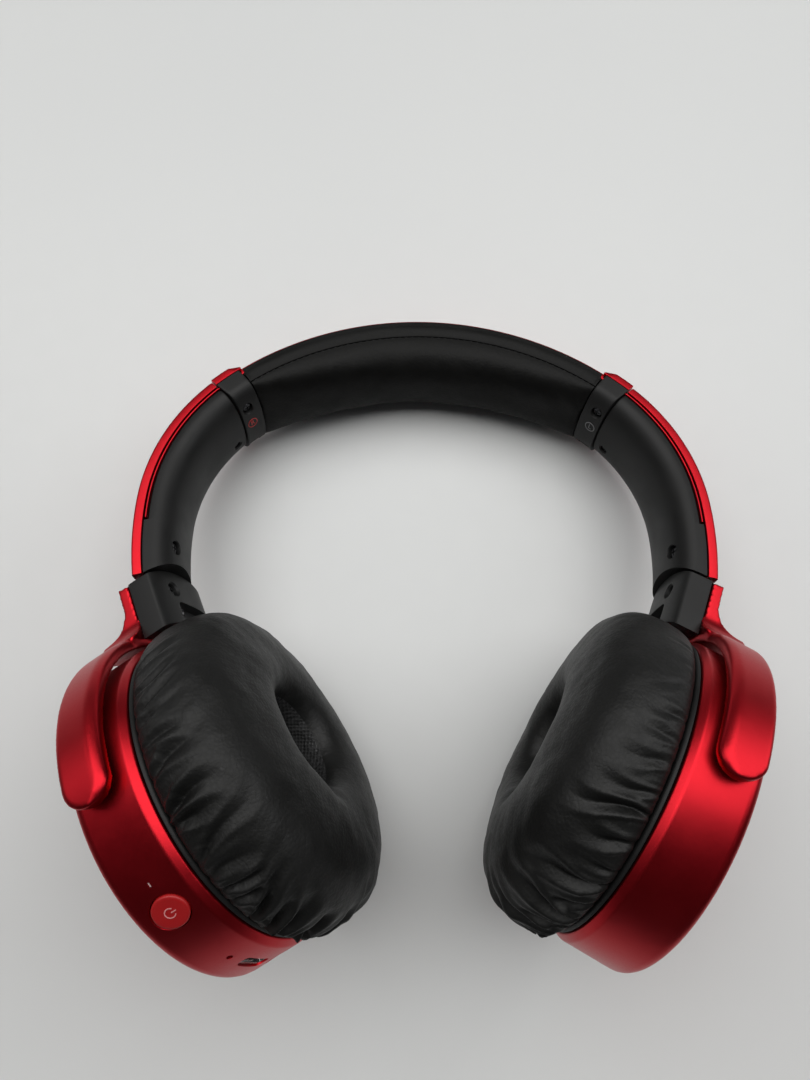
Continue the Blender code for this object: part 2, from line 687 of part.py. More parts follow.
def board_and_battery():
    """The amplifier board in the cup with the controls, the battery in the other."""
    outline = []
    for a in spread(105, 255, 21):
        outline.append((22.5 * math.cos(math.radians(a)), 22.5 * math.sin(math.radians(a))))
    outline += [(-3.5, -11.5), (-3.5, 11.5)]
    rings = [[(n, u, f) for u, f in outline] for n in (-4.2, -3.2)]
    side = RIGHT_SIDE
    loft("circuit_board", rings, side.yoke, BOARD, side.tilt_axis)
    side = LEFT_SIDE
    cell = block("battery", (-4.4, -26.0, -9.0), (-1.6, -12.0, 9.0), side.yoke, CELL, side.tilt_axis)
    bevel = cell.modifiers.new("Soft edges", "BEVEL")
    bevel.width = 0.8 * MM
    bevel.segments = 2


def settle():
    """Moves everything so that the middle of its box stands over the origin, and its lowest point at 0."""
    bpy.context.view_layer.update()
    graph = bpy.context.evaluated_depsgraph_get()
    low = Vector((9, 9, 9))
    high = -low
    for piece in parts.objects:
        evaluated = piece.evaluated_get(graph)
        mesh = evaluated.to_mesh()
        for vertex in mesh.vertices:
            point = evaluated.matrix_world @ vertex.co
            low = Vector(map(min, low, point))
            high = Vector(map(max, high, point))
        evaluated.to_mesh_clear()
    shift = Vector(((low.x + high.x) / 2, (low.y + high.y) / 2, low.z))
    for piece in [*parts.objects, *cutters.objects]:
        piece.location -= shift


band()
cushion()
for one in (RIGHT_SIDE, LEFT_SIDE):
    cap(one)
    slider(one)
    yoke(one)
    neck_cover(one)
    cup(one)
controls(RIGHT_SIDE)
board_and_battery()
settle()
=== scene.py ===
import json
import math
import random

import bmesh
import bpy
import numpy as np
from mathutils import Matrix, Vector, noise


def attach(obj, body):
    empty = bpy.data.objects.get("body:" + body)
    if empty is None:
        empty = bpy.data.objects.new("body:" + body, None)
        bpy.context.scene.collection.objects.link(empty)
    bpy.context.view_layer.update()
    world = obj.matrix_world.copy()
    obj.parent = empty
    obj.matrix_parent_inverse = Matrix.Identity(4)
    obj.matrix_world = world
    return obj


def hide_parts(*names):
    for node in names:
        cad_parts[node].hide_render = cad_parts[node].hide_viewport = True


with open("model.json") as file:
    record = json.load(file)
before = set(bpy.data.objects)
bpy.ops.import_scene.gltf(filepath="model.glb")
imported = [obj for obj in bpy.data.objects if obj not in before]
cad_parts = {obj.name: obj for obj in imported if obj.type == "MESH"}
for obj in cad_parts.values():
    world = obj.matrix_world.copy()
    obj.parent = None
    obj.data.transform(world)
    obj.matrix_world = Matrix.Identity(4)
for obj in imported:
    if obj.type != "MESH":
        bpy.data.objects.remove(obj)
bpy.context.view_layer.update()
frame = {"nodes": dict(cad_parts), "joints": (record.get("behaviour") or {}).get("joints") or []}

MM = 0.001
ORIGIN = (0, 0, 0)
SIDE_NAMES = {-1: "right", 1: "left"}

# The band and the arms, as arcs seen along the band's width (mm and degrees)
TOP_RADIUS = 76.54
TOP_CENTRE_Y = -36.54
SIDE_RADIUS = 52.4
SIDE_CENTRE = (17.0, -19.4)
JOIN_ANGLE = 44.8
BAND_THICK = 0.8
BAND_THIN = 0.45
BAND_HALF = 11.2
TRIM = 1.0
TRIM_ANGLE = 41.0
ARM_FLAT = 90.0
ARM_RADIUS = 90.0
SLOT_END = 96.2
GAP = 0.3
LEAN = 13.2
ROLL = 0.85

# The cushion, the end caps and the sliders
CUSHION_ANGLE = 41.2
CUSHION_HALF = 11.4
CUSHION_MID = 14.8
CUSHION_END = 8.0
SEAM_DEPTH = 4.4
CAP_FROM = 41.5
CAP_TO = 48.1
CAP_HALF = 12.0
CAP_DEPTH = 8.3
SLIDER_FROM = 48.5
SLIDER_TO = 113.0
STRIP_THICK = 2.3
SLIDER_HALF = 11.5
SLIDER_INNER = 44.5
SLIDER_AXIS = 49.6
SLIDER_END = 110.1
# How round the shoulders of the black covers are
EDGE_SOFT = 2 / 2.3
CAP_SCREW_AT = 6.4
# Which, angle, place along the width, rise, tip, radius and depth
SLIDER_SCREWS = (
    ("upper", 52.8, -4.8, 0.4, -10, 0.8, 1.2),
    ("lower", 104.2, 7.0, 0.75, 14, 1.4, 1.5),
)

# The necks, the forks and the cups
SEAM_RADIUS = 34.0
SEAM_GAP = 0.6
NECK_LEAN = 24.5
NECK_TOP = 53.4
NECK_FLOOR = 37.6
NECK_IN = -3.3
NECK_OUT = 4.2
NECK_HALF = 11.3
FORK_STRIP = (4.5, 7.2)
STRIP_HALF = 11.2
RING_INNER = 36.3
RING_OUTER = 39.2
RING_HALF = 4.4
RING_MIDDLE = -0.85
PRONG_ANGLE = 85.0
PIN_UP = 3.3
CUP_CENTRE = (48.6, -88.2)
TOE = 28.5
SWIVEL = {-1: 19.0, 1: 3.5}
DRUM_RADIUS = 35.0
DRUM_HALF = 7.0
DRUM_WALL = 1.8
KEY_ANGLE = 127.5
LAMP_ANGLE = 117.5
MIC_ANGLE = 154.5
USB_ANGLE = 167.0
JACK_ANGLE = 182.0
PAD_RADIUS = 36.4
PAD_TOP = 28.8
PAD_MIDDLE = (24.0, 17.5)
PAD_AROUND = 180
PAD_SHRINK = 0.45
# The furthest that the simulation may move a point, in metres
MOST_SWELL = 0.0009
SWELL_FRAMES = 16
LINING_RADIUS = 14.0
LINING_TOP = 23.0

# The band's own frame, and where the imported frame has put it
SPINE = Matrix.Rotation(math.radians(ROLL), 4, "Y") @ Matrix.Rotation(math.radians(-LEAN), 4, "X")
hinge = next(j for j in frame["joints"] if j["name"] == "slider_left_extend")
SHIFT = SPINE @ Vector((SIDE_CENTRE[0], SIDE_CENTRE[1], 0)) * MM - Vector(hinge["pos_m"])
TO_WORLD = Matrix.Translation(-SHIFT) @ Matrix.Scale(MM, 4)


# ---------------------------------------------------------------- frames


def turn(point, axis, degrees):
    there = Matrix.Translation(point)
    return there @ Matrix.Rotation(math.radians(degrees), 4, axis) @ there.inverted()


def columns(x, y, z, origin):
    made = Matrix.Identity(4)
    for i, direction in enumerate((x, y, z, origin)):
        for j in range(3):
            made[j][i] = direction[j]
    return made


class Side:
    """The frames of one side: the slider's, the neck's and the cup's, in millimetres."""

    def __init__(self, sign):
        self.sign = sign
        self.name = SIDE_NAMES[sign]
        toe = math.radians(TOE)
        lean = math.radians(NECK_LEAN)
        self.neck_end = self.on_arc(SLIDER_AXIS, SLIDER_END, 0)
        self.cup = Vector((sign * CUP_CENTRE[0], CUP_CENTRE[1], 0))
        self.axis = Vector((sign * math.sin(lean), math.cos(lean), 0))
        self.root = self.neck_end - (NECK_TOP + SEAM_GAP / 2) * self.axis
        ear = Vector((-sign * math.cos(toe), math.sin(toe), 0))
        up = Vector((sign * math.sin(toe), math.cos(toe), 0))
        front = Vector((0, 0, 1))
        self.bend = math.asin(self.axis.dot(ear))
        self.root_at = ((self.root - self.cup).dot(ear), (self.root - self.cup).dot(up))
        swivel = turn(self.root, self.axis, sign * SWIVEL[sign])
        self.yoke = TO_WORLD @ SPINE @ swivel @ columns(ear, up, front, self.cup)
        across = Vector((self.axis.y, -self.axis.x, 0)) * sign
        self.neck = TO_WORLD @ SPINE @ swivel @ columns(across, self.axis, front, self.root)

    def on_arc(self, radius, angle, w):
        """A point of the arm's curve, which opens to a flatter arc below its widest point."""
        x, y = SIDE_CENTRE
        if angle > ARM_FLAT:
            radius += ARM_RADIUS - SIDE_RADIUS
            x -= ARM_RADIUS - SIDE_RADIUS
            angle = ARM_FLAT + (angle - ARM_FLAT) * SIDE_RADIUS / ARM_RADIUS
        a = math.radians(angle)
        return Vector((self.sign * (x + radius * math.sin(a)), y + radius * math.cos(a), w))

    def neck_point(self, b, a):
        """A point of the neck's own frame, in the ring's (along the ear's axis, up)."""
        sine, cosine = math.sin(self.bend), math.cos(self.bend)
        return (self.root_at[0] + a * sine - b * cosine, self.root_at[1] + a * cosine + b * sine)

    def seat(self, radius, angle, w, tip):
        """A frame on an arm's inner face: y into the arm, tipped towards its front edge by an angle."""
        out = (self.on_arc(1, angle, 0) - self.on_arc(0, angle, 0)).normalized()
        across = Vector((0, 0, 1))
        turned = math.radians(tip)
        into = out * math.cos(turned) - across * math.sin(turned)
        side_way = out * math.sin(turned) + across * math.cos(turned)
        return BAND_FRAME @ columns(side_way.cross(into), into, side_way, self.on_arc(radius, angle, w))

    def on_line(self, offset, angle, w):
        """A point off the band's outer line, on whichever of its two arcs has that angle."""
        if abs(angle) > JOIN_ANGLE:
            return self.on_arc(SIDE_RADIUS + offset, angle, w)
        a = math.radians(angle)
        radius = TOP_RADIUS + offset
        return Vector((self.sign * radius * math.sin(a), TOP_CENTRE_Y + radius * math.cos(a), w))


BAND_FRAME = TO_WORLD @ SPINE
LEFT = Side(1)
RIGHT = Side(-1)


# ---------------------------------------------------------------- materials


class Look:
    """A small helper for building one procedural material."""

    def __init__(self, name, colour, rough, metal=0.0):
        self.material = bpy.data.materials.new(name)
        self.material.use_nodes = True
        self.tree = self.material.node_tree
        self.shader = self.tree.nodes["Principled BSDF"]
        self.shader.inputs["Base Color"].default_value = (*colour, 1)
        self.shader.inputs["Roughness"].default_value = rough
        self.shader.inputs["Metallic"].default_value = metal
        self.place = self.tree.nodes.new("ShaderNodeTexCoord").outputs["Object"]

    def node(self, kind, source, into, **values):
        """A shader node fed by one socket, with its other inputs set."""
        made = self.tree.nodes.new("ShaderNode" + kind)
        for name, value in values.items():
            made.inputs[name.replace("_", " ")].default_value = value
        self.link(source, made.inputs[into])
        return made

    def noise(self, scale, detail, rough):
        made = self.node("TexNoise", self.place, "Vector", Scale=scale, Detail=detail, Roughness=rough)
        return made.outputs["Fac"]

    def cells(self, scale, feature="F1", jitter=1.0):
        made = self.node("TexVoronoi", self.place, "Vector", Scale=scale, Randomness=jitter)
        made.feature = feature
        return made.outputs["Distance"]

    def ramp(self, value, stops):
        made = self.node("ValToRGB", value, "Fac")
        while len(made.color_ramp.elements) < len(stops):
            made.color_ramp.elements.new(0.5)
        for element, (where, colour) in zip(made.color_ramp.elements, stops):
            element.position = where
            element.color = (*colour, 1)
        return made.outputs["Color"]

    def spread(self, value, low, high, from_low=0.3, from_high=0.7):
        ends = dict(From_Min=from_low, From_Max=from_high, To_Min=low, To_Max=high)
        return self.node("MapRange", value, "Value", **ends).outputs["Result"]

    def add(self, a, b):
        made = self.node("Math", a, 0)
        self.link(b, made.inputs[1])
        return made.outputs["Value"]

    def link(self, a, b):
        self.tree.links.new(a, b)

    def bump(self, height, strength, distance, under=None):
        made = self.node("Bump", height, "Height", Strength=strength, Distance=distance)
        if under is not None:
            self.link(under, made.inputs["Normal"])
        return made.outputs["Normal"]

    def finish(self, colour, rough, normal=None):
        for name, source in (("Base Color", colour), ("Roughness", rough), ("Normal", normal)):
            if source is not None:
                self.link(source, self.shader.inputs[name])
        return self.material


def red_metal():
    look = Look("red_anodised", (0.46, 0.013, 0.020), 0.38, 1.0)
    grain = look.noise(2600.0, 3.0, 0.6)
    cloud = look.noise(55.0, 4.0, 0.55)
    colour = look.ramp(cloud, [(0.3, (0.41, 0.011, 0.018)), (0.7, (0.50, 0.015, 0.023))])
    rough = look.add(look.spread(grain, 0.0, 0.06), look.spread(cloud, 0.30, 0.37))
    normal = look.bump(grain, 0.10, 0.00005)
    return look.finish(colour, rough, normal)


def black_plastic():
    look = Look("black_plastic", (0.012, 0.012, 0.0125), 0.5)
    look.shader.inputs["Specular IOR Level"].default_value = 0.24
    grain = look.noise(3800.0, 3.0, 0.6)
    cloud = look.noise(90.0, 5.0, 0.6)
    colour = look.ramp(cloud, [(0.3, (0.0075, 0.0075, 0.0075)), (0.72, (0.0115, 0.0115, 0.0115))])
    rough = look.spread(cloud, 0.42, 0.56)
    normal = look.bump(grain, 0.22, 0.00006)
    return look.finish(colour, rough, normal)


def leatherette(name, scale, dust, shine):
    look = Look(name, (0.016, 0.016, 0.017), 0.55)
    look.shader.inputs["Specular IOR Level"].default_value = shine
    pebble = look.cells(1500.0 * scale)
    fine = look.noise(5200.0 * scale, 2.0, 0.5)
    crease = look.cells(420.0 * scale, "DISTANCE_TO_EDGE")
    cloud = look.noise(70.0, 5.0, 0.6)
    specks = look.noise(620.0, 2.0, 0.7)
    colour = look.ramp(cloud, [(0.3, (0.0036, 0.0036, 0.0034)), (0.7, (0.0068, 0.0068, 0.0065))])
    dusty = look.tree.nodes.new("ShaderNodeMix")
    dusty.data_type = "RGBA"
    look.link(look.spread(specks, 0.0, dust, 0.70, 0.86), dusty.inputs["Factor"])
    # Sockets 6 and 7 hold the two colours, and output 2 their mix
    look.link(colour, dusty.inputs[6])
    dusty.inputs[7].default_value = (0.045, 0.045, 0.047, 1)
    rough = look.add(look.spread(pebble, 0.0, 0.08, 0.0, 0.8), look.spread(cloud, 0.40, 0.52))
    normal = look.bump(pebble, 0.30, 0.00012)
    normal = look.bump(look.spread(crease, 0.0, 1.0, 0.0, 0.08), 0.12, 0.00010, normal)
    normal = look.bump(fine, 0.12, 0.00005, normal)
    return look.finish(dusty.outputs[2], rough, normal)


def speaker_cloth():
    look = Look("speaker_cloth", (0.012, 0.012, 0.013), 0.75)
    holes = look.cells(1250.0, "F1", 0.25)
    glint = look.noise(2300.0, 2.0, 0.8)
    hole, edge, thread = (0.001, 0.001, 0.001), (0.004, 0.004, 0.004), (0.022, 0.022, 0.023)
    colour = look.ramp(holes, [(0.0, hole), (0.35, edge), (0.8, thread)])
    rough = look.spread(glint, 0.75, 0.28, 0.5, 0.72)
    normal = look.bump(holes, 0.9, 0.00025)
    return look.finish(colour, rough, normal)


def plain(name, colour, rough, metal=0.0, grain=2500.0, amount=0.08):
    look = Look(name, colour, rough, metal)
    value = look.noise(grain, 3.0, 0.6)
    cloud = look.noise(80.0, 3.0, 0.5)
    low = tuple(c * 0.85 for c in colour)
    high = tuple(min(1.0, c * 1.12) for c in colour)
    tint = look.ramp(cloud, [(0.3, low), (0.7, high)])
    spread_rough = look.spread(value, rough * 0.85, rough * 1.15)
    return look.finish(tint, spread_rough, look.bump(value, amount, 0.00005))


RED = red_metal()
BLACK = black_plastic()
LEATHER = leatherette("pad_leatherette", 1.0, 0.55, 0.27)
CUSHION_LEATHER = leatherette("cushion_leatherette", 1.15, 0.25, 0.13)
CLOTH = speaker_cloth()
SCREW = plain("dark_screw", (0.035, 0.035, 0.038), 0.34, 0.85)
STEEL = plain("steel", (0.5, 0.5, 0.52), 0.3, 1.0)
BRIGHT = plain("socket_metal", (0.62, 0.6, 0.6), 0.22, 1.0)
FILM = plain("diaphragm_film", (0.35, 0.33, 0.28), 0.4)
BOARD = plain("circuit_board", (0.02, 0.12, 0.05), 0.5)
CELL = plain("battery_wrap", (0.25, 0.27, 0.3), 0.4)
FOAM = plain("foam", (0.12, 0.12, 0.125), 0.95, 0.0, 1200.0, 0.6)
LENS = plain("lamp_lens", (0.42, 0.30, 0.30), 0.25)
THREAD = plain("thread", (0.010, 0.010, 0.011), 0.6, 0.0, 6000.0, 0.4)
MARK_RED = plain("mark_red", (0.42, 0.022, 0.02), 0.5)
MARK_GREY = plain("mark_grey", (0.16, 0.16, 0.165), 0.5)
MARK_PALE = plain("mark_pale", (0.55, 0.22, 0.22), 0.45)
KEY_RED = plain("power_key_red", (0.30, 0.0035, 0.0045), 0.5)


# ---------------------------------------------------------------- mesh helpers


def spread(first, last, count):
    return [first + (last - first) * i / (count - 1) for i in range(count)]


def shade(obj, angle=40.0):
    for polygon in obj.data.polygons:
        polygon.use_smooth = True
    if angle:
        bpy.context.view_layer.objects.active = obj
        with bpy.context.temp_override(object=obj, active_object=obj, selected_editable_objects=[obj]):
            bpy.ops.object.shade_smooth_by_angle(angle=math.radians(angle))


def in_scene(name, data):
    made = bpy.data.objects.new(name, data)
    bpy.context.scene.collection.objects.link(made)
    return made


def mesh_object(name, build, colour):
    """An object made of a bmesh, which is freed."""
    mesh = bpy.data.meshes.new(name)
    build.to_mesh(mesh)
    build.free()
    if colour:
        mesh.materials.append(colour)
    return in_scene(name, mesh)


def loft(name, rings, place, colour, closed=False):
    """Quads through a row of rings, capped unless the row is closed."""
    build = bmesh.new()
    rows = [[build.verts.new(place @ Vector(point)) for point in ring] for ring in rings]
    count = len(rows[0])
    pairs = list(zip(rows, rows[1:]))
    if closed:
        pairs.append((rows[-1], rows[0]))
    for row, after in pairs:
        for i in range(count):
            j = (i + 1) % count
            build.faces.new((row[i], row[j], after[j], after[i]))
    if not closed:
        build.faces.new(rows[0])
        build.faces.new(rows[-1])
    bmesh.ops.recalc_face_normals(build, faces=build.faces)
    if build.calc_volume(signed=True) < 0:
        bmesh.ops.reverse_faces(build, faces=build.faces)
    return mesh_object(name, build, colour)


def circle(radius, height, middle, along, around=48):
    ring = []
    first, second = [i for i in range(3) if i != along]
    for i in range(around):
        a = 2 * math.pi * i / around
        point = list(middle)
        point[first] += radius * math.cos(a)
        point[second] += radius * math.sin(a)
        point[along] += height
        ring.append(tuple(point))
    return ring


def rod(name, steps, middle, along, place, colour, around=48):
    rings = [circle(max(radius, 0.002), height, middle, along, around) for radius, height in steps]
    return loft(name, rings, place, colour)


def lathe(name, profile, side, colour, around=192):
    """A closed profile of (radius, height) turned about the drum's axis."""
    rings = []
    for i in range(around):
        a = 2 * math.pi * i / around
        rings.append([(h, r * math.cos(a), r * math.sin(a)) for r, h in profile])
    return loft(name, rings, side.yoke, colour, closed=True)


def block(name, low, high, place, colour):
    rings = []
    for z in (low[2], high[2]):
        rings.append([(low[0], low[1], z), (high[0], low[1], z), (high[0], high[1], z), (low[0], high[1], z)])
    return loft(name, rings, place, colour)


def apply_all(obj):
    graph = bpy.context.evaluated_depsgraph_get()
    mesh = bpy.data.meshes.new_from_object(obj.evaluated_get(graph))
    obj.modifiers.clear()
    old = obj.data
    obj.data = mesh
    bpy.data.meshes.remove(old)


def cut(target, cutter, operation="DIFFERENCE"):
    """An exact Boolean, applied at once, its cutter removed."""
    made = target.modifiers.new("cut", "BOOLEAN")
    made.operation = operation
    made.solver = "EXACT"
    made.object = cutter
    apply_all(target)
    bpy.data.objects.remove(cutter)


def soften(obj, width, segments, angle):
    made = obj.modifiers.new("edges", "BEVEL")
    made.width = width * MM
    made.segments = segments
    made.limit_method = "ANGLE"
    made.angle_limit = math.radians(angle)
    made.harden_normals = False
    made.use_clamp_overlap = True
    apply_all(obj)


def rounded(points, radius, steps=4):
    """A closed outline of 2-D points with each corner rounded. A third value is that corner's own radius."""
    out = []
    count = len(points)
    for i in range(count):
        here = Vector(points[i][:2])
        before = Vector(points[i - 1][:2]) - here
        after = Vector(points[(i + 1) % count][:2]) - here
        own = points[i][2] if len(points[i]) > 2 else radius
        if own <= 0:
            out.append(tuple(here))
            continue
        reach = min(own, before.length * 0.45, after.length * 0.45)
        a = here + before.normalized() * reach
        b = here + after.normalized() * reach
        for j in range(steps + 1):
            t = j / steps
            point = a * (1 - t) ** 2 + here * 2 * t * (1 - t) + b * t**2
            out.append(tuple(point))
    return out


def put(obj, body, nodes):
    """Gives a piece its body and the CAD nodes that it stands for."""
    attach(obj, body)
    if nodes:
        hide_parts(*nodes)


# ---------------------------------------------------------------- band, cushion and caps


def band():
    """The sprung steel band from one slider's slot to the other's, raised a little over the cushion."""
    places = [(RIGHT, a, 0) for a in spread(SLOT_END, JOIN_ANGLE, 40)]
    places += [(LEFT, -TRIM_ANGLE - 0.1, 0)]
    places += [(LEFT, a, TRIM) for a in spread(-TRIM_ANGLE, TRIM_ANGLE, 90)]
    places += [(LEFT, TRIM_ANGLE + 0.1, 0)]
    places += [(LEFT, a, 0) for a in spread(JOIN_ANGLE, SLOT_END, 40)]
    rings = []
    for side, a, high in places:
        low = -BAND_THIN if abs(a) > CAP_TO else -BAND_THICK
        outline = [(high, -BAND_HALF), (high, BAND_HALF), (low, BAND_HALF), (low, -BAND_HALF)]
        rings.append([side.on_line(o, a, w) for o, w in rounded(outline, 0.25, 3)])
    obj = loft("steel_band", rings, BAND_FRAME, RED)
    shade(obj)
    put(obj, "headband", ["headband_band"])


def cushion_ring(angle, around=64):
    """Cross section of the cushion: a side wall down to a sewn seam, then a soft crown.

    Each point is (offset, width, softness), where softness says how far it may wander.
    """
    share = min(1.0, abs(angle) / CUSHION_ANGLE)
    deep = CUSHION_END + (CUSHION_MID - CUSHION_END) * (1 - share**3.0)
    top = -BAND_THICK - GAP
    half = CUSHION_HALF
    seam = -SEAM_DEPTH - 0.5 * (1 - share**2)
    lip = 0.35 if abs(angle) < TRIM_ANGLE - 0.4 else top + 0.1
    wall = []
    for t in spread(0, 1, 9):
        bulge = 0.55 * math.sin(math.pi * min(1.0, t * 1.15)) ** 0.8
        wall.append((lip - 0.15 - (lip - 0.15 - seam) * t, half - 0.05 + bulge, 0.35 * math.sin(math.pi * t)))
    front = [(top, 0.0, 0.0), (top, half - 0.15, 0.0)]
    front += [(lip - 0.05, half - 0.12, 0.0), (lip + 0.05, half + 0.08, 0.0)]
    front += wall[1:]
    # The seam itself, drawn in
    front += [(seam - 0.06, half - 0.55, 0.0), (seam - 0.20, half - 0.62, 0.0)]
    crown_points = []
    for j in range(around + 1):
        a = math.pi * j / around
        c = math.cos(a)
        wide = (half - 0.10) * math.copysign(abs(c) ** 0.74, c)
        drop = (seam + deep - 0.35) * abs(math.sin(a)) ** 0.84
        crown_points.append((seam - 0.35 - drop, wide, min(1.0, drop / 3.0)))
    back = [(o, -w, s) for o, w, s in reversed(front[1:])]
    return front + crown_points + back, seam


def cushion():
    """The headband's padded sleeve, and the stitches along both its seams."""
    reach = spread(-CUSHION_ANGLE, CUSHION_ANGLE, 260)
    rings = []
    for angle in reach:
        ring, seam = cushion_ring(angle)
        end = max(0.0, 1 - (CUSHION_ANGLE - abs(angle)) / 2.2)
        made = []
        for offset, w, soft in ring:
            where = LEFT.on_line(offset, angle, w)
            sag = noise.noise(Vector((where.x * 0.05, w * 0.09, 3.1))) * 0.5
            ripple = noise.noise(Vector((where.x * 0.20, offset * 0.3, w * 0.15))) * 0.20
            crease = noise.noise(Vector((where.x * 0.75, offset * 0.5, w * 0.45))) * 0.07
            by_seam = max(0.0, 1 - abs(offset - seam) / 2.0)
            pucker = 0.10 * math.sin(angle * 6.1 + 2.0 * math.sin(angle * 0.7)) * by_seam
            push = soft * (sag + ripple + crease - 0.55 * end * end) + pucker * min(1.0, soft * 3)
            if offset < seam - 0.3:
                made.append(LEFT.on_line(offset - push, angle, w))
            else:
                made.append(LEFT.on_line(offset, angle, w + math.copysign(push, w)))
        rings.append(made)
    obj = loft("headband_cushion", rings, BAND_FRAME, CUSHION_LEATHER)
    shade(obj, 50)
    put(obj, "headband", ["headband_cushion_sleeve"])
    stitches = bmesh.new()
    for sign in (1, -1):
        angle = -CUSHION_ANGLE + 0.8
        while angle < CUSHION_ANGLE - 1.2:
            seam = cushion_ring(angle)[1]
            width = sign * (CUSHION_HALF - 0.42)
            a, b = (LEFT.on_line(seam - 0.22, end, width) for end in (angle, angle + 1.1))
            middle = BAND_FRAME @ ((a + b) / 2)
            along = (BAND_FRAME @ b) - (BAND_FRAME @ a)
            turned = along.to_track_quat("X", "Z").to_matrix().to_4x4()
            size = Matrix.Diagonal((along.length * 0.46, 0.20 * MM, 0.22 * MM, 1))
            spot = Matrix.Translation(middle) @ turned @ size
            bmesh.ops.create_uvsphere(stitches, u_segments=8, v_segments=6, radius=1.0, matrix=spot)
            angle += 1.5
    thread = mesh_object("cushion_stitches", stitches, THREAD)
    shade(thread, 0)
    put(thread, "headband", [])


def seat_frame(side, base, angle, w):
    """A frame on a cap's inner face: x along the band, y outwards into the cap, z along the width."""
    out = side.on_line(1, angle, 0) - side.on_line(0, angle, 0)
    along = Vector((0, 0, 1)).cross(out)
    return BAND_FRAME @ columns(along, out, Vector((0, 0, 1)), side.on_line(base, angle, w))


def sink(target, radius, deep, middle, along, place):
    """A counterbore with a small chamfer at its mouth."""
    steps = [(radius + 0.9, -1.2), (radius + 0.35, -0.05), (radius, 0.3), (radius, deep)]
    cut(target, rod("sink", steps, middle, along, place, None, 40))


def screw_head(name, radius, floor, middle, along, place, body, node):
    """A domed head with a cross recess, and its shank."""
    shank = 0.55
    steps = [(radius * 0.55, floor - 0.74), (radius * 0.86, floor - 0.62), (radius, floor - 0.40)]
    steps += [(radius, floor - 0.12), (shank, floor - 0.1), (shank, floor + 1.0)]
    head = rod(name, steps, middle, along, place, SCREW, 40)
    for k in range(2):
        low = list(middle)
        high = list(middle)
        for n, i in enumerate(i for i in range(3) if i != along):
            reach = radius * (0.62 if n == k else 0.15)
            low[i] -= reach
            high[i] += reach
        low[along] = middle[along] + (floor - 1.0)
        high[along] = middle[along] + (floor - 0.42)
        cut(head, block("recess", low, high, place, None))
    shade(head, 30)
    put(head, body, [node])


def inner_face(low, wide, rise, soft, count=32):
    """A black cover's inner face, from one side wall to the other: the softer, the rounder."""
    points = []
    for i in range(count + 1):
        t = math.pi * i / count
        c = math.cos(t)
        w = wide * math.copysign(abs(c) ** soft, c)
        points.append((low + rise - rise * math.sin(t) ** soft, w))
    return points


def rolled(where, outline, inside, angle, tuck):
    """A black cover's cross section at an angle, drawn in by a small tuck on its inner side."""
    ring = []
    for o, w in outline:
        ring.append(where(o + (tuck if o < inside else 0.0), angle, w - math.copysign(tuck * 0.6, w)))
    return ring


def strip_outline(inner, wide, edge):
    """The cross section of a red strip, softer along its outer edges."""
    outer = inner + STRIP_THICK
    corners = [(inner, -wide, 0.1), (outer, -wide, edge), (outer, wide, edge), (inner, wide, 0.1)]
    return rounded(corners, 0.4, 5)


def cap(side):
    """The black cap over the cushion's end, with its screw and notch, and the red cover outside it."""
    wide = CAP_HALF
    high = 0.3
    low = -CAP_DEPTH
    slot = BAND_HALF + GAP
    floor = -BAND_THICK - GAP
    outline = [(high, -wide), (high, -slot), (floor, -slot), (floor, slot), (high, slot), (high, wide)]
    outline += inner_face(low, wide, 4.8, EDGE_SOFT)
    places = [(CAP_FROM, 0.22), (CAP_FROM + 0.12, 0.06), (CAP_FROM + 0.3, 0.0)]
    places += [(a, 0.0) for a in spread(CAP_FROM + 0.8, CAP_TO - 0.8, 10)]
    places += [(CAP_TO - 0.3, 0.0), (CAP_TO - 0.12, 0.06), (CAP_TO, 0.22)]
    rings = [rolled(side.on_line, outline, -2.0, angle, tuck) for angle, tuck in places]
    body = loft("cap_" + side.name, rings, BAND_FRAME, BLACK)
    middle = (CAP_FROM + CAP_TO) / 2
    place = seat_frame(side, low + 0.3, middle, CAP_SCREW_AT)
    sink(body, 1.6, 1.4, ORIGIN, 1, place)
    cut(body, block("notch", (-2.0, -1.5, -17.9), (2.0, 2.6, -15.4), place, None))
    shade(body, 35)
    put(body, "headband", ["band_end_cap_" + side.name])
    name = "band_end_screw_" + side.name
    screw_head("cap_screw_" + side.name, 1.3, 1.35, ORIGIN, 1, place, "headband", name)
    base = 0.6
    outline = strip_outline(base, wide, 0.5)
    stations = [(CAP_FROM - 0.7, 0.22), (CAP_FROM - 0.5, 0.33), (CAP_FROM + 1.3, 0.97)]
    stations += [(CAP_FROM + 1.6, 1.0)]
    stations += [(a, 1.0) for a in spread(CAP_FROM + 2.2, CAP_TO - 0.3, 8)]
    stations += [(CAP_TO - 0.1, 0.99), (CAP_TO, 0.93)]
    rings = []
    for angle, share in stations:
        rings.append([side.on_line(base + (o - base) * share, angle, w) for o, w in outline])
    cover = loft("cap_cover_" + side.name, rings, BAND_FRAME, RED)
    shade(cover, 35)
    put(cover, "headband", ["band_end_cover_" + side.name])
    mark(side, middle)


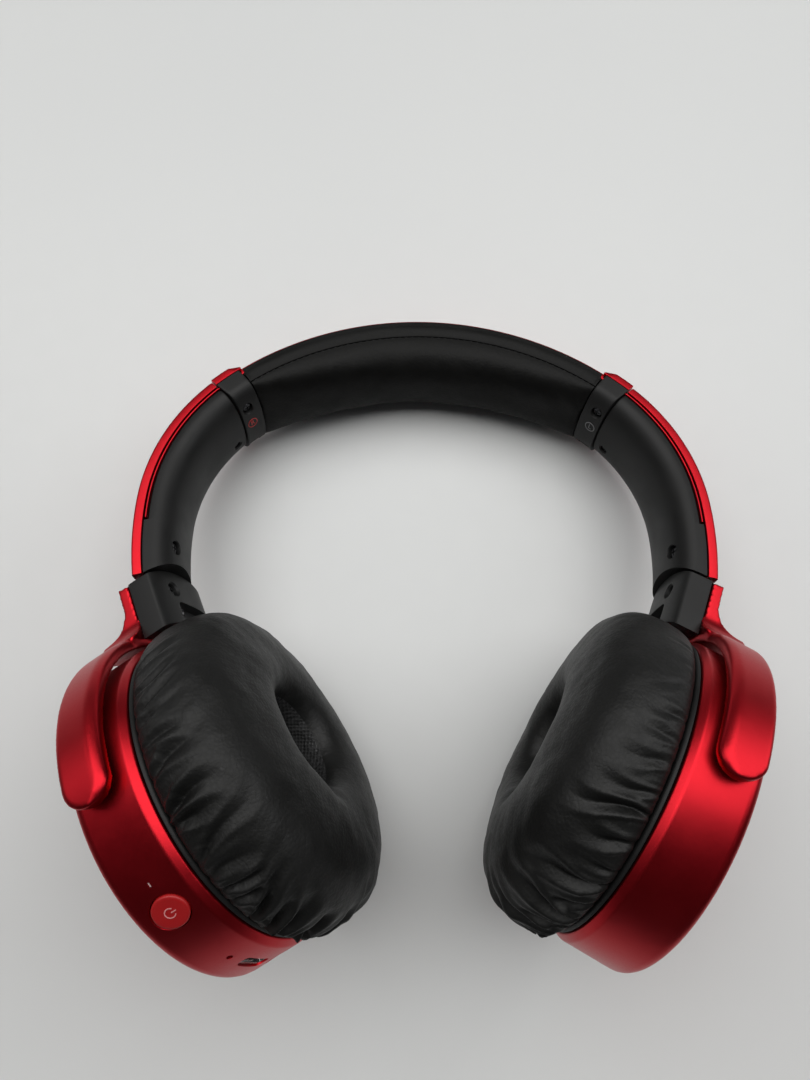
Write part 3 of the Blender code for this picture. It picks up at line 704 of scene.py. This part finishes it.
def mark(side, angle):
    """The ring and letter that tell the wearer's right from left."""
    place = seat_frame(side, -CAP_DEPTH - 0.04, angle, 0.6)
    colour = MARK_RED if side.sign < 0 else MARK_GREY
    inner, outer = 1.35, 1.6
    steps = ((inner, 0.12), (inner, -0.04), (outer, -0.04), (outer, 0.12))
    rings = [circle(r, y, ORIGIN, 1) for r, y in steps]
    put(loft("mark_ring_" + side.name, rings, place, colour, True), "headband", [])
    text = bpy.data.curves.new("letter", "FONT")
    text.body = "R" if side.sign < 0 else "L"
    text.size = 2.3 * MM
    text.align_x = "CENTER"
    text.align_y = "CENTER"
    text.extrude = 0.05 * MM
    letter = in_scene("mark_letter_" + side.name, text)
    basis = place.to_3x3()
    into = (basis @ Vector((0, 1, 0))).normalized()
    up = (basis @ Vector((0, 0, 1))).normalized()
    across = up.cross(-into)
    letter.matrix_world = columns(across, up, -into, place.translation)
    text.materials.append(colour)
    bpy.context.view_layer.update()
    graph = bpy.context.evaluated_depsgraph_get()
    mesh = bpy.data.meshes.new_from_object(letter.evaluated_get(graph))
    mesh.transform(letter.matrix_world)
    bpy.data.objects.remove(letter)
    put(in_scene("mark_letter_" + side.name, mesh), "headband", [])


# ---------------------------------------------------------------- sliders


def ball(radius, place):
    """The round seam between a slider's end and the neck's top."""
    steps = []
    for a in spread(0, 180, 97):
        angle = math.radians(a)
        steps.append((max(0.05, radius * math.sin(angle)), radius * math.cos(angle)))
    return rod("ball", steps, (0, NECK_TOP - SEAM_RADIUS, 0), 1, place, None, 128)


def slider(side):
    """The sliding arm: a red strip outside, a black cover inside, and the band's slot between them."""
    body = "slider_" + side.name
    inner = SIDE_RADIUS + GAP
    wide = SLIDER_HALF
    outline = strip_outline(inner, wide, 0.55)
    places = [(SLIDER_FROM, 0.1), (SLIDER_FROM + 0.12, 0.02)]
    places += [(a, 0) for a in spread(SLIDER_FROM + 0.4, SLIDER_TO, 70)]
    rings = []
    for angle, tuck in places:
        rings.append([side.on_arc(r - (tuck if r > inner + 0.5 else 0), angle, w) for r, w in outline])
    strip = loft("arm_strip_" + side.name, rings, BAND_FRAME, RED)
    cut(strip, ball(SEAM_RADIUS + SEAM_GAP, side.neck))
    shade(strip, 35)
    put(strip, body, ["slider_strip_" + side.name])
    slot = SIDE_RADIUS - BAND_THICK - GAP
    places = [(SLIDER_FROM, slot, 0.25), (SLIDER_FROM + 0.12, slot, 0.07), (SLIDER_FROM + 0.3, slot, 0)]
    places += [(a, slot, 0) for a in spread(SLIDER_FROM + 0.9, SLOT_END + 0.8, 54)]
    places += [(a, SIDE_RADIUS, 0) for a in spread(SLOT_END + 0.82, SLIDER_TO, 20)]
    face = inner_face(SLIDER_INNER, wide, 5.6, EDGE_SOFT)
    rings = []
    for angle, top, tuck in places:
        outline = rounded([(top, -wide, 0.3), (top, wide, 0.3)], 0.3, 3) + face
        rings.append(rolled(side.on_arc, outline, SLIDER_INNER + 3.5, angle, tuck))
    cover = loft("arm_cover_" + side.name, rings, BAND_FRAME, BLACK)
    cut(cover, ball(SEAM_RADIUS + SEAM_GAP, side.neck))
    for which, angle, w, rise, tip, head, deep in SLIDER_SCREWS:
        place = side.seat(SLIDER_INNER + rise, angle, w, tip)
        sink(cover, head + 0.35, deep, ORIGIN, 1, place)
        end = "_screw_%s_%s" % (which, side.name)
        screw_head("arm" + end, head, deep - 0.05, ORIGIN, 1, place, body, "slider" + end)
    shade(cover, 35)
    put(cover, body, ["slider_cover_" + side.name])


# ---------------------------------------------------------------- yokes


def yoke(side):
    """The red fork: a strip up the neck's outside, flared into a half ring round the drum."""
    body = "yoke_" + side.name
    place = side.yoke
    far = math.degrees(RING_HALF / ((RING_INNER + RING_OUTER) / 2))
    tip = [math.radians(t) for t in (10, 20, 30, 40, 50, 60, 70, 80, 88)]
    places = [(-PRONG_ANGLE - far * math.sin(t), math.cos(t)) for t in reversed(tip)]
    places += [(a, 1.0) for a in spread(-PRONG_ANGLE, PRONG_ANGLE, 91)]
    places += [(PRONG_ANGLE + far * math.sin(t), math.cos(t)) for t in tip]
    rings = []
    rough = RING_INNER - 0.8
    for angle, share in places:
        half = RING_HALF * share
        a = math.radians(angle)
        soft = min(1.5, half * 0.6)
        back = min(0.8, half * 0.5)
        low, high = RING_MIDDLE - half, RING_MIDDLE + half
        shape = [(rough, low, 0.1), (RING_OUTER - 0.1, low, back), (RING_OUTER, high - soft, 0.7)]
        shape += [(RING_OUTER - soft * 0.7, high, 0.5), (rough, high, 0.1)]
        rings.append([(n, r * math.cos(a), r * math.sin(a)) for r, n in rounded(shape, 0.3, 4)])
    ring = loft("fork_" + side.name, rings, place, RED)
    # The strip, in profile, with the round foot that joins it to the ring
    neck_point = side.neck_point
    low, high = FORK_STRIP
    outline = [neck_point(low, 51.2), neck_point(high, 51.2), neck_point(high, 47.4)]
    foot = -4.9
    reach = neck_point(high, 46.4)[0] - foot
    for t in spread(0, 90, 19):
        angle = math.radians(t)
        outline.append((foot + reach * math.cos(angle), 46.0 - 6.85 * math.sin(angle)))
    outline += [(-5.2, 38.6), (-5.2, 34.2), (3.5, 34.2), neck_point(low, 37.0)]
    bridge = loft("bridge", [[(n, u, f) for n, u in outline] for f in (-STRIP_HALF, STRIP_HALF)], place, None)
    cut(ring, bridge, "UNION")
    # The strip spreads on each side, in a small fillet, to the ring's own arc
    fillet = 3.7
    stations = [(STRIP_HALF - 0.2, 0.0)]
    for t in spread(0, 90, 10):
        angle = math.radians(t)
        stations.append((STRIP_HALF + fillet * (1 - math.cos(angle)), fillet * math.sin(angle)))
    for sign in (-1, 1):
        rings = []
        for f, drop in stations:
            ceiling = math.sqrt(RING_OUTER**2 - f * f) + 3.75 - drop
            rings.append([(n, min(u, ceiling), sign * f) for n, u in outline])
        cut(ring, loft("flare", rings, place, None), "UNION")
    wide = RING_INNER / math.cos(math.pi / 240)
    cut(ring, rod("room", [(wide, -12.0), (wide, 10.0)], ORIGIN, 0, place, None, 240))
    remesh = ring.modifiers.new("skin", "REMESH")
    remesh.mode = "VOXEL"
    remesh.voxel_size = 0.36 * MM
    smooth = ring.modifiers.new("smooth", "SMOOTH")
    smooth.factor = 0.5
    smooth.iterations = 5
    apply_all(ring)
    shade(ring, 0)
    put(ring, body, ["yoke_" + side.name])


def neck(side):
    """The black cover on the neck's inside, domed at the top and notched at its lower corner."""
    body = "yoke_" + side.name
    place = side.neck
    face = [(b, f, 0) for b, f in inner_face(NECK_IN, NECK_HALF, 2.4, 0.92, 28)]

    def outline(more, a):
        high = NECK_OUT + more
        corners = [(high, -NECK_HALF, 0.3), (high, NECK_HALF, 0.3)]
        return [(b, a, f) for b, f in rounded(corners + face, 0.3, 3)]

    rings = [outline(0.0, a) for a in spread(32.0, 51.4, 20)]
    rings += [outline(more, a) for more, a in ((2.4, 51.5), (2.2, 52.2), (1.7, 52.8), (0.4, 54.4))]
    cover = loft("neck_shell_" + side.name, rings, place, BLACK)
    cut(cover, ball(SEAM_RADIUS, place), "INTERSECT")
    cut(cover, rod("floor", [(NECK_FLOOR, -12.0), (NECK_FLOOR, 26.0)], ORIGIN, 0, side.yoke, None, 240))
    notch = rounded([(33.0, -9.6, 0), (44.6, -9.6, 1.4), (44.6, 4.4, 1.4), (33.0, 4.4, 0)], 1.2, 5)
    rings = [[(b, a, f) for a, f in notch] for b in (-5.0, -0.9)]
    cut(cover, loft("notch", rings, place, None))
    seat = (NECK_IN + 0.25, 48.0, 4.6)
    sink(cover, 1.75, 1.5, seat, 0, place)
    soften(cover, 0.25, 3, 40)
    shade(cover, 35)
    put(cover, body, ["neck_cover_" + side.name])
    screw_head("neck_bolt_" + side.name, 1.45, 1.45, seat, 0, place, body, "neck_screw_" + side.name)


# ---------------------------------------------------------------- cups


def wall_frame(side, angle):
    """A frame on the middle of the drum's wall: x outwards, y round the wall, z along the ear's axis."""
    a = math.radians(angle)
    u = math.cos(a)
    f = math.sin(a)
    spot = Vector((0.0, DRUM_RADIUS * u, DRUM_RADIUS * f))
    return side.yoke @ columns(Vector((0, u, f)), Vector((0, -f, u)), Vector((1, 0, 0)), spot)


def drum(side):
    """The red drum, with its bores and controls, and the black base ring that the pad sits on."""
    body = "cup_" + side.name
    outer = DRUM_RADIUS
    inner = outer - DRUM_WALL
    half = DRUM_HALF
    low = -half + 0.4
    profile = [(inner, half, 0.25), (outer - 0.85, half, 0.35), (outer, half - 1.5, 0.35)]
    profile += [(outer, -half, 2.2), (26.2, -half, 0.15), (25.6, low, 0.3), (0.02, low, 0)]
    profile += [(0.02, -half + 2.0, 0), (inner, -half + 2.0, 1.0)]
    housing = lathe("drum_" + side.name, rounded(profile, 0.4, 6), side, RED, 256)
    for sign in (1, -1):
        bore = [(1.9, sign * 31.0), (1.9, sign * 36.2)]
        cut(housing, rod("bore", bore, (RING_MIDDLE, PIN_UP, 0), 2, side.yoke, None, 48))
    if side.sign < 0:
        power_key(side, housing)
        sockets(side, housing)
    shade(housing, 32)
    put(housing, body, ["cup_housing_" + side.name])
    high = half + 0.3
    profile = [(32.4, half + 1.25, 0.3), (33.7, half + 1.1, 0.4), (34.1, high, 0.25), (32.7, high, 0)]
    profile += [(32.7, half - 2.2, 0.2), (31.2, half - 2.2, 0.2), (31.2, high, 0), (14.4, high, 0.2)]
    profile += [(14.4, half + 1.7, 0.2)]
    ring = lathe("base_ring_" + side.name, rounded(profile, 0.3, 4), side, BLACK, 192)
    shade(ring, 35)
    put(ring, body, ["cup_baffle_" + side.name])


def power_key(side, housing):
    """The round key in its mouth, and the raised power symbol on it."""
    place = wall_frame(side, KEY_ANGLE)
    mouth = [(3.95, 0.6), (3.72, -0.05), (3.6, -0.2), (3.6, -3.2)]
    cut(housing, rod("mouth", mouth, ORIGIN, 0, place, None, 96))
    profile = [(0.01, 0.22), (1.6, 0.22), (2.6, 0.24), (3.05, 0.24), (3.25, 0.16), (3.35, 0.0), (3.35, -2.2)]
    profile += [(4.25, -2.5), (4.25, -3.1), (0.01, -3.1)]
    button = rod("power_key", profile, ORIGIN, 0, place, KEY_RED, 96)
    shade(button, 40)
    put(button, "power_button", ["power_button"])
    symbol = bmesh.new()
    arc = [math.radians(a) for a in spread(38, 322, 40)]
    for points in ([(0.95 * math.sin(a), 0.95 * math.cos(a)) for a in arc], [(0, 0.2), (0, 1.2)]):
        rings = []
        for i, (y, z) in enumerate(points):
            before, after = points[max(i - 1, 0)], points[min(i + 1, len(points) - 1)]
            d = Vector((after[0] - before[0], after[1] - before[1])).normalized()
            n = Vector((-d.y, d.x)) * 0.10
            one, other = (y + n.x, z + n.y), (y - n.x, z - n.y)
            corners = [(0.18, *one), (0.27, *one), (0.27, *other), (0.18, *other)]
            rings.append([symbol.verts.new(place @ Vector(c)) for c in corners])
        for row, nxt in zip(rings, rings[1:]):
            for i in range(4):
                j = (i + 1) % 4
                symbol.faces.new((row[i], row[j], nxt[j], nxt[i]))
        symbol.faces.new(rings[0])
        symbol.faces.new(rings[-1])
    bmesh.ops.recalc_face_normals(symbol, faces=symbol.faces)
    put(mesh_object("power_symbol", symbol, MARK_PALE), "power_button", [])


def oblong(z, y, radius, steps):
    return rounded([(-z, -y, radius), (z, -y, radius), (z, y, radius), (-z, y, radius)], radius, steps)


def sockets(side, housing):
    """The lamp's slit, the microphone's hole, and the charging and audio sockets in the drum's wall."""
    body = "cup_" + side.name
    place = wall_frame(side, LAMP_ANGLE)
    slit = oblong(0.22, 0.55, 0.2, 4)
    rings = [[(x, y, z) for z, y in slit] for x in (-3.0, 1.0)]
    cut(housing, loft("slit", rings, place, None))
    rings = [[(x, y * 0.82, z * 0.78) for z, y in slit] for x in (-2.6, -0.25, -0.16)]
    lamp = loft("lamp", rings, place, LENS)
    shade(lamp, 40)
    put(lamp, body, ["status_lamp"])
    place = wall_frame(side, MIC_ANGLE)
    cut(housing, rod("mic", [(0.75, 0.6), (0.6, -0.15), (0.6, -3.2)], ORIGIN, 0, place, None, 32))
    place = wall_frame(side, USB_ANGLE)
    opening = oblong(1.45, 3.9, 1.2, 6)
    rings = [[(x, y * g, z * g) for z, y in opening] for x, g in ((-3.5, 1.0), (-0.25, 1.0), (0.8, 1.12))]
    cut(housing, loft("usb", rings, place, None))
    inner = oblong(1.15, 3.6, 0.9, 6)
    rings = [[(x, y, z) for z, y in inner] for x in (-7.0, -0.45)]
    shell = loft("usb_shell", rings, place, BRIGHT)
    rings = [[(x, y * 0.9, z * 0.72) for z, y in inner] for x in (-5.5, 1.0)]
    cut(shell, loft("usb_mouth", rings, place, None))
    cut(shell, block("tongue", (-5.0, -2.6, -0.25), (-1.2, 2.6, 0.25), place, None), "UNION")
    shade(shell, 30)
    put(shell, body, ["usb_socket"])
    place = wall_frame(side, JACK_ANGLE)
    cut(housing, rod("jack", [(2.9, 0.6), (2.5, -0.2), (2.5, -3.2)], ORIGIN, 0, place, None, 64))
    steps = [(0.01, -8.0), (2.2, -8.0), (2.2, -0.5), (2.0, -0.3), (1.75, -0.3), (1.75, -7.0), (0.01, -7.0)]
    jack = rod("jack_barrel", steps, ORIGIN, 0, place, BLACK, 64)
    shade(jack, 30)
    put(jack, body, ["audio_socket"])


def cloth_disc(side):
    """The domed cloth over the loudspeaker."""
    profile = [(0.02, DRUM_HALF + 3.4)]
    for r in spread(1.0, 12.6, 14):
        profile.append((r, DRUM_HALF + 2.45 + 0.95 * math.cos(r / 12.9 * math.pi / 2)))
    profile += [(12.8, DRUM_HALF + 2.2), (12.8, DRUM_HALF + 2.0), (0.02, DRUM_HALF + 2.0)]
    disc = lathe("speaker_mesh_" + side.name, profile, side, CLOTH, 96)
    shade(disc, 40)
    put(disc, "cup_" + side.name, ["speaker_cloth_" + side.name])


# The pad's cross section, as (radius, height), from its sewn outer edge over the crown into the hole
PAD_PROFILE = [
    (33.6, 8.3), (34.7, 8.35), (35.5, 9.2), (36.0, 10.6), (36.3, 12.6), (36.4, 14.7), (36.3, 16.8),
    (35.9, 18.9), (35.1, 20.9), (33.9, 22.8), (32.2, 24.5), (30.0, 25.9), (27.4, 26.9), (24.6, 27.6),
    (21.8, 28.1), (19.0, 28.35), (16.5, 28.3), (14.3, 27.8), (12.6, 26.8), (11.4, 25.3), (10.7, 23.4),
    (10.4, 21.2), (10.4, 18.6), (10.6, 16.0), (11.2, 13.2), (11.9, 10.8), (12.6, 8.95),
]


def pad(side):
    """A stuffed ring: swollen by a short cloth simulation, then gathered along its sewn outer edge."""
    rng = random.Random(40 + side.sign)
    middle = Vector(PAD_MIDDLE)
    rings = []
    for i in range(PAD_AROUND):
        a = 2 * math.pi * i / PAD_AROUND
        ring = []
        for k, point in enumerate(PAD_PROFILE):
            pull = PAD_SHRINK if 0 < k < len(PAD_PROFILE) - 1 else 0.0
            d = Vector(point) - middle
            p = middle + d * (1 - pull / max(d.length, 1))
            ring.append((p.y, p.x * math.cos(a), p.x * math.sin(a)))
        rings.append(ring)
    obj = loft("ear_cushion_" + side.name, rings, side.yoke, None, closed=True)
    swell(obj, side)
    sub = obj.modifiers.new("fine", "SUBSURF")
    sub.levels = 2
    sub.render_levels = 2
    apply_all(obj)
    gather(obj, side, rng)
    obj.data.materials.clear()
    obj.data.materials.append(LEATHER)
    obj.data.materials.append(CLOTH)
    # The lining of the hole is cloth
    back = side.yoke.inverted()
    for face in obj.data.polygons:
        place = back @ face.center
        if math.hypot(place.y, place.z) < LINING_RADIUS and place.x < LINING_TOP:
            face.material_index = 1
    shade(obj, 0)
    put(obj, "cup_" + side.name, ["ear_pad_" + side.name])


SWELLING = dict(
    quality=6, mass=0.02, use_pressure=True, uniform_pressure_force=4.0, tension_stiffness=12,
    compression_stiffness=12, shear_stiffness=5, bending_stiffness=0.4, vertex_group_mass="sewn",
)


def swell(obj, side):
    """A cloth simulation with pressure, held along both sewn edges, its movement capped."""
    scene = bpy.context.scene
    start = np.array([v.co for v in obj.data.vertices])
    place = side.yoke.inverted()
    local = np.array([place @ v.co for v in obj.data.vertices])
    group = obj.vertex_groups.new(name="sewn")
    group.add([int(i) for i in np.where(local[:, 0] < 9.3)[0]], 1.0, "REPLACE")
    cloth = obj.modifiers.new("Cloth", "CLOTH")
    for name, value in SWELLING.items():
        setattr(cloth.settings, name, value)
    cloth.settings.effector_weights.gravity = 0
    cloth.collision_settings.use_collision = False
    cloth.point_cache.frame_start = 1
    cloth.point_cache.frame_end = SWELL_FRAMES
    for number in range(1, SWELL_FRAMES + 1):
        scene.frame_set(number)
    graph = bpy.context.evaluated_depsgraph_get()
    swollen = np.array([v.co for v in obj.evaluated_get(graph).data.vertices])
    obj.modifiers.clear()
    obj.vertex_groups.clear()
    scene.frame_set(1)
    move = swollen - start
    length = np.linalg.norm(move, axis=1)
    scale = np.where(length > MOST_SWELL, MOST_SWELL / np.maximum(length, 1e-9), 1.0)
    done = start + move * scale[:, None]
    obj.data.vertices.foreach_set("co", done.astype(np.float32).ravel())
    obj.data.update()


def draw_pleats(rng, sign):
    """Deep pleats, deepest at the pad's lowest side, then a second row of small ones between them."""

    def lowness(angle):
        return (0.5 - 0.5 * math.cos(math.radians(angle - 18.0 * sign))) ** 0.9

    pleats = []
    angle = -180.0
    while angle < 180.0:
        low = lowness(angle)
        at = angle + rng.uniform(-1.0, 1.0)
        deep = (0.35 + 2.75 * low) * rng.uniform(0.45, 1.2)
        long = (6.0 + 12.0 * low) * rng.uniform(0.55, 1.4)
        wide = rng.uniform(0.6, 1.05)
        slant = 0.22 * sign + rng.uniform(-0.22, 0.22)
        pleats.append((at, deep, long, wide, slant, rng.uniform(0, 6.28)))
        angle += rng.uniform(5.4, 9.4) * (1.3 - 0.35 * low)
    angle = -180.0
    while angle < 180.0:
        deep = (0.15 + 0.45 * lowness(angle)) * rng.uniform(0.3, 1.2)
        ends = ((2.0, 5.5), (0.35, 0.6), (-0.3, 0.3), (0, 6.28))
        pleats.append((angle, deep, *(rng.uniform(a, b) for a, b in ends)))
        angle += rng.uniform(2.4, 4.6)
    return pleats


def wander(point, scale, size, shift=(0, 0, 0)):
    """Smooth noise over the pad, in millimetres."""
    return noise.noise(Vector([c * scale for c in point]) + Vector(shift)) * size


def gather(obj, side, rng):
    """Pulls the pad in along its pleats, each a valley between two soft rolls, and wrinkles the rest."""
    place = side.yoke.inverted()
    coords = np.array([place @ v.co for v in obj.data.vertices])
    n, u, f = coords[:, 0], coords[:, 1], coords[:, 2]
    r = np.hypot(u, f)
    theta = np.degrees(np.arctan2(f, u))
    # Distance up the outer side from the sewn edge, in mm
    over = np.where(n > 12.0, np.maximum(0.0, PAD_RADIUS - r), 0.0)
    climb = np.where(r > 24.0, np.maximum(0.0, n - 8.6) * 0.9 + over * 0.9, 99.0)
    inward = np.zeros(len(coords))
    for at, deep, long, wide, slant, wave in draw_pleats(rng, side.sign):
        bend = slant * climb + 0.6 * np.sin(climb * 0.4 + wave)
        gap = (theta - at + 180.0) % 360.0 - 180.0
        across = gap * math.pi / 180.0 * np.maximum(r, 1.0) - bend
        spread_wide = wide * (0.6 + 0.09 * np.minimum(climb, 14.0))
        along = np.clip(1.0 - climb / long, 0.0, 1.0)
        fade = along**1.3 * np.clip((climb + 0.4) / 2.2, 0.25, 1.0)
        x = np.abs(across / spread_wide)
        valley = np.exp(-(x**1.45)) - 0.42 * np.exp(-((x - 1.95) ** 2) / 0.55)
        inward += deep * fade * valley
    tube_radius, tube_height = 24.5, 17.0
    move = np.zeros_like(coords)
    for i, point in enumerate(coords):
        push = wander(point, 0.10, 0.42, (7.7, side.sign * 3.0, 0))
        push += wander(point, 0.30, 0.12)
        push += wander(point, 0.9, 0.03)
        height, share = point[0], 1 - tube_radius / max(r[i], 1e-3)
        seat = max(0.0, min(1.0, (height - 8.8) / 4.0))
        d = np.array([height - tube_height, share * point[1], share * point[2]])
        length = max(np.linalg.norm(d), 1e-6)
        move[i] = d / length * (seat * push - inward[i] * (0.45 + 0.55 * seat))
    # A tuck in the ear hole's lower edge
    tuck = np.exp(-(((theta + side.sign * 168.0 + 180) % 360 - 180) / 9.0) ** 2)
    lip = np.exp(-(((r - 13.6) / 3.0) ** 2)) * np.clip((n - 17.0) / 6.0, 0, 1)
    move[:, 0] -= 1.1 * tuck * lip
    done = coords + move
    done[:, 0] = np.minimum(done[:, 0], PAD_TOP)
    # Held back under the neck, and where the two pads come side by side when both lie flat
    near_neck = np.exp(-((theta / 30.0) ** 4))
    near_pad = np.exp(-(((theta + 90.0) / 50.0) ** 4))
    limit = PAD_RADIUS + 1.0 - 2.0 * near_neck - 2.4 * near_pad
    limit -= near_pad * 0.6 * np.clip(done[:, 0] - 14.0, 0.0, 9.0)
    wide = np.hypot(done[:, 1], done[:, 2])
    held = limit - 0.4 * np.logaddexp(0.0, (limit - wide) / 0.4)
    done[:, 1:] *= (held / np.maximum(wide, 1e-6))[:, None]
    result = np.array([side.yoke @ Vector(p) for p in done])
    obj.data.vertices.foreach_set("co", result.astype(np.float32).ravel())
    obj.data.update()


# ---------------------------------------------------------------- build


band()
cushion()
for one in (RIGHT, LEFT):
    cap(one)
    slider(one)
    yoke(one)
    neck(one)
    drum(one)
    cloth_disc(one)
    pad(one)

# The pieces inside are shown as their CAD solids, each with its material
KEPT = {
    "pin": STEEL, "driver_frame": BLACK, "driver_magnet": STEEL, "driver_diaphragm": FILM, "foam": FOAM,
    "circuit_board": BOARD, "battery": CELL, "microphone": BLACK, "detent": STEEL,
}
for node_name, node in frame["nodes"].items():
    if node.hide_render:
        continue
    for word, look in KEPT.items():
        if word in node_name:
            node.data.materials.clear()
            node.data.materials.append(look)


# ---------------------------------------------------------------- stage

# The lens's focal length as a share of the picture's height
FOCAL_SHARE = 700.0 / 1080.0


def floor():
    build = bmesh.new()
    bmesh.ops.create_grid(build, x_segments=2, y_segments=2, size=3.0)
    look = Look("table_top", (0.6, 0.6, 0.6), 0.42)
    cloud = look.noise(2.2, 3.0, 0.5)
    fine = look.noise(160.0, 4.0, 0.6)
    colour = look.ramp(cloud, [(0.25, (0.60, 0.61, 0.61)), (0.75, (0.66, 0.665, 0.66))])
    rough = look.spread(fine, 0.36, 0.46)
    made = mesh_object("table", build, look.finish(colour, rough))
    made.location = (0, 0, -0.0002)


def area(name, place, target, size, power, colour):
    data = bpy.data.lights.new(name, "AREA")
    data.energy = power
    data.color = colour
    data.shape = "RECTANGLE"
    data.size, data.size_y = size
    made = in_scene(name, data)
    made.location = place
    made.rotation_euler = (Vector(target) - Vector(place)).to_track_quat("-Z", "Y").to_euler()


def camera():
    """The photograph's camera, fitted in the headband's own frame, in millimetres."""
    rx, ry, rz = -0.484, -0.025, 0.008
    rotation = Matrix.Rotation(rz, 3, "Z") @ Matrix.Rotation(ry, 3, "Y") @ Matrix.Rotation(rx, 3, "X")
    flip = Matrix(((1, 0, 0), (0, -1, 0), (0, 0, -1)))
    shift = Vector((4.974, -22.084, 194.608))
    basis = flip @ rotation.transposed() @ flip
    place = (SPINE.to_3x3() @ basis).to_4x4()
    place.translation = BAND_FRAME @ (flip @ (rotation.transposed() @ -shift))
    data = bpy.data.cameras.new("camera")
    data.sensor_width = 36.0
    data.lens = FOCAL_SHARE * 36.0
    data.clip_start = 0.01
    made = in_scene("camera", data)
    made.matrix_world = place
    bpy.context.scene.camera = made


floor()
area("key", (0.0, 0.40, 1.04), (0, 0.0, 0), (1.7, 1.1), 16.2, (1.0, 0.995, 0.98))
area("side", (-0.95, 0.25, 0.65), (0, 0, 0.03), (0.5, 0.6), 1.2, (1.0, 0.99, 0.98))
area("window", (0.95, 0.25, 0.65), (0, 0, 0.03), (0.5, 0.6), 2.4, (0.98, 0.99, 1.0))
world = bpy.data.worlds.new("studio")
bpy.context.scene.world = world
world.use_nodes = True
background = world.node_tree.nodes["Background"]
background.inputs["Color"].default_value = (0.9, 0.93, 0.95, 1)
background.inputs["Strength"].default_value = 0.06
camera()
bpy.context.scene.view_settings.view_transform = "Standard"
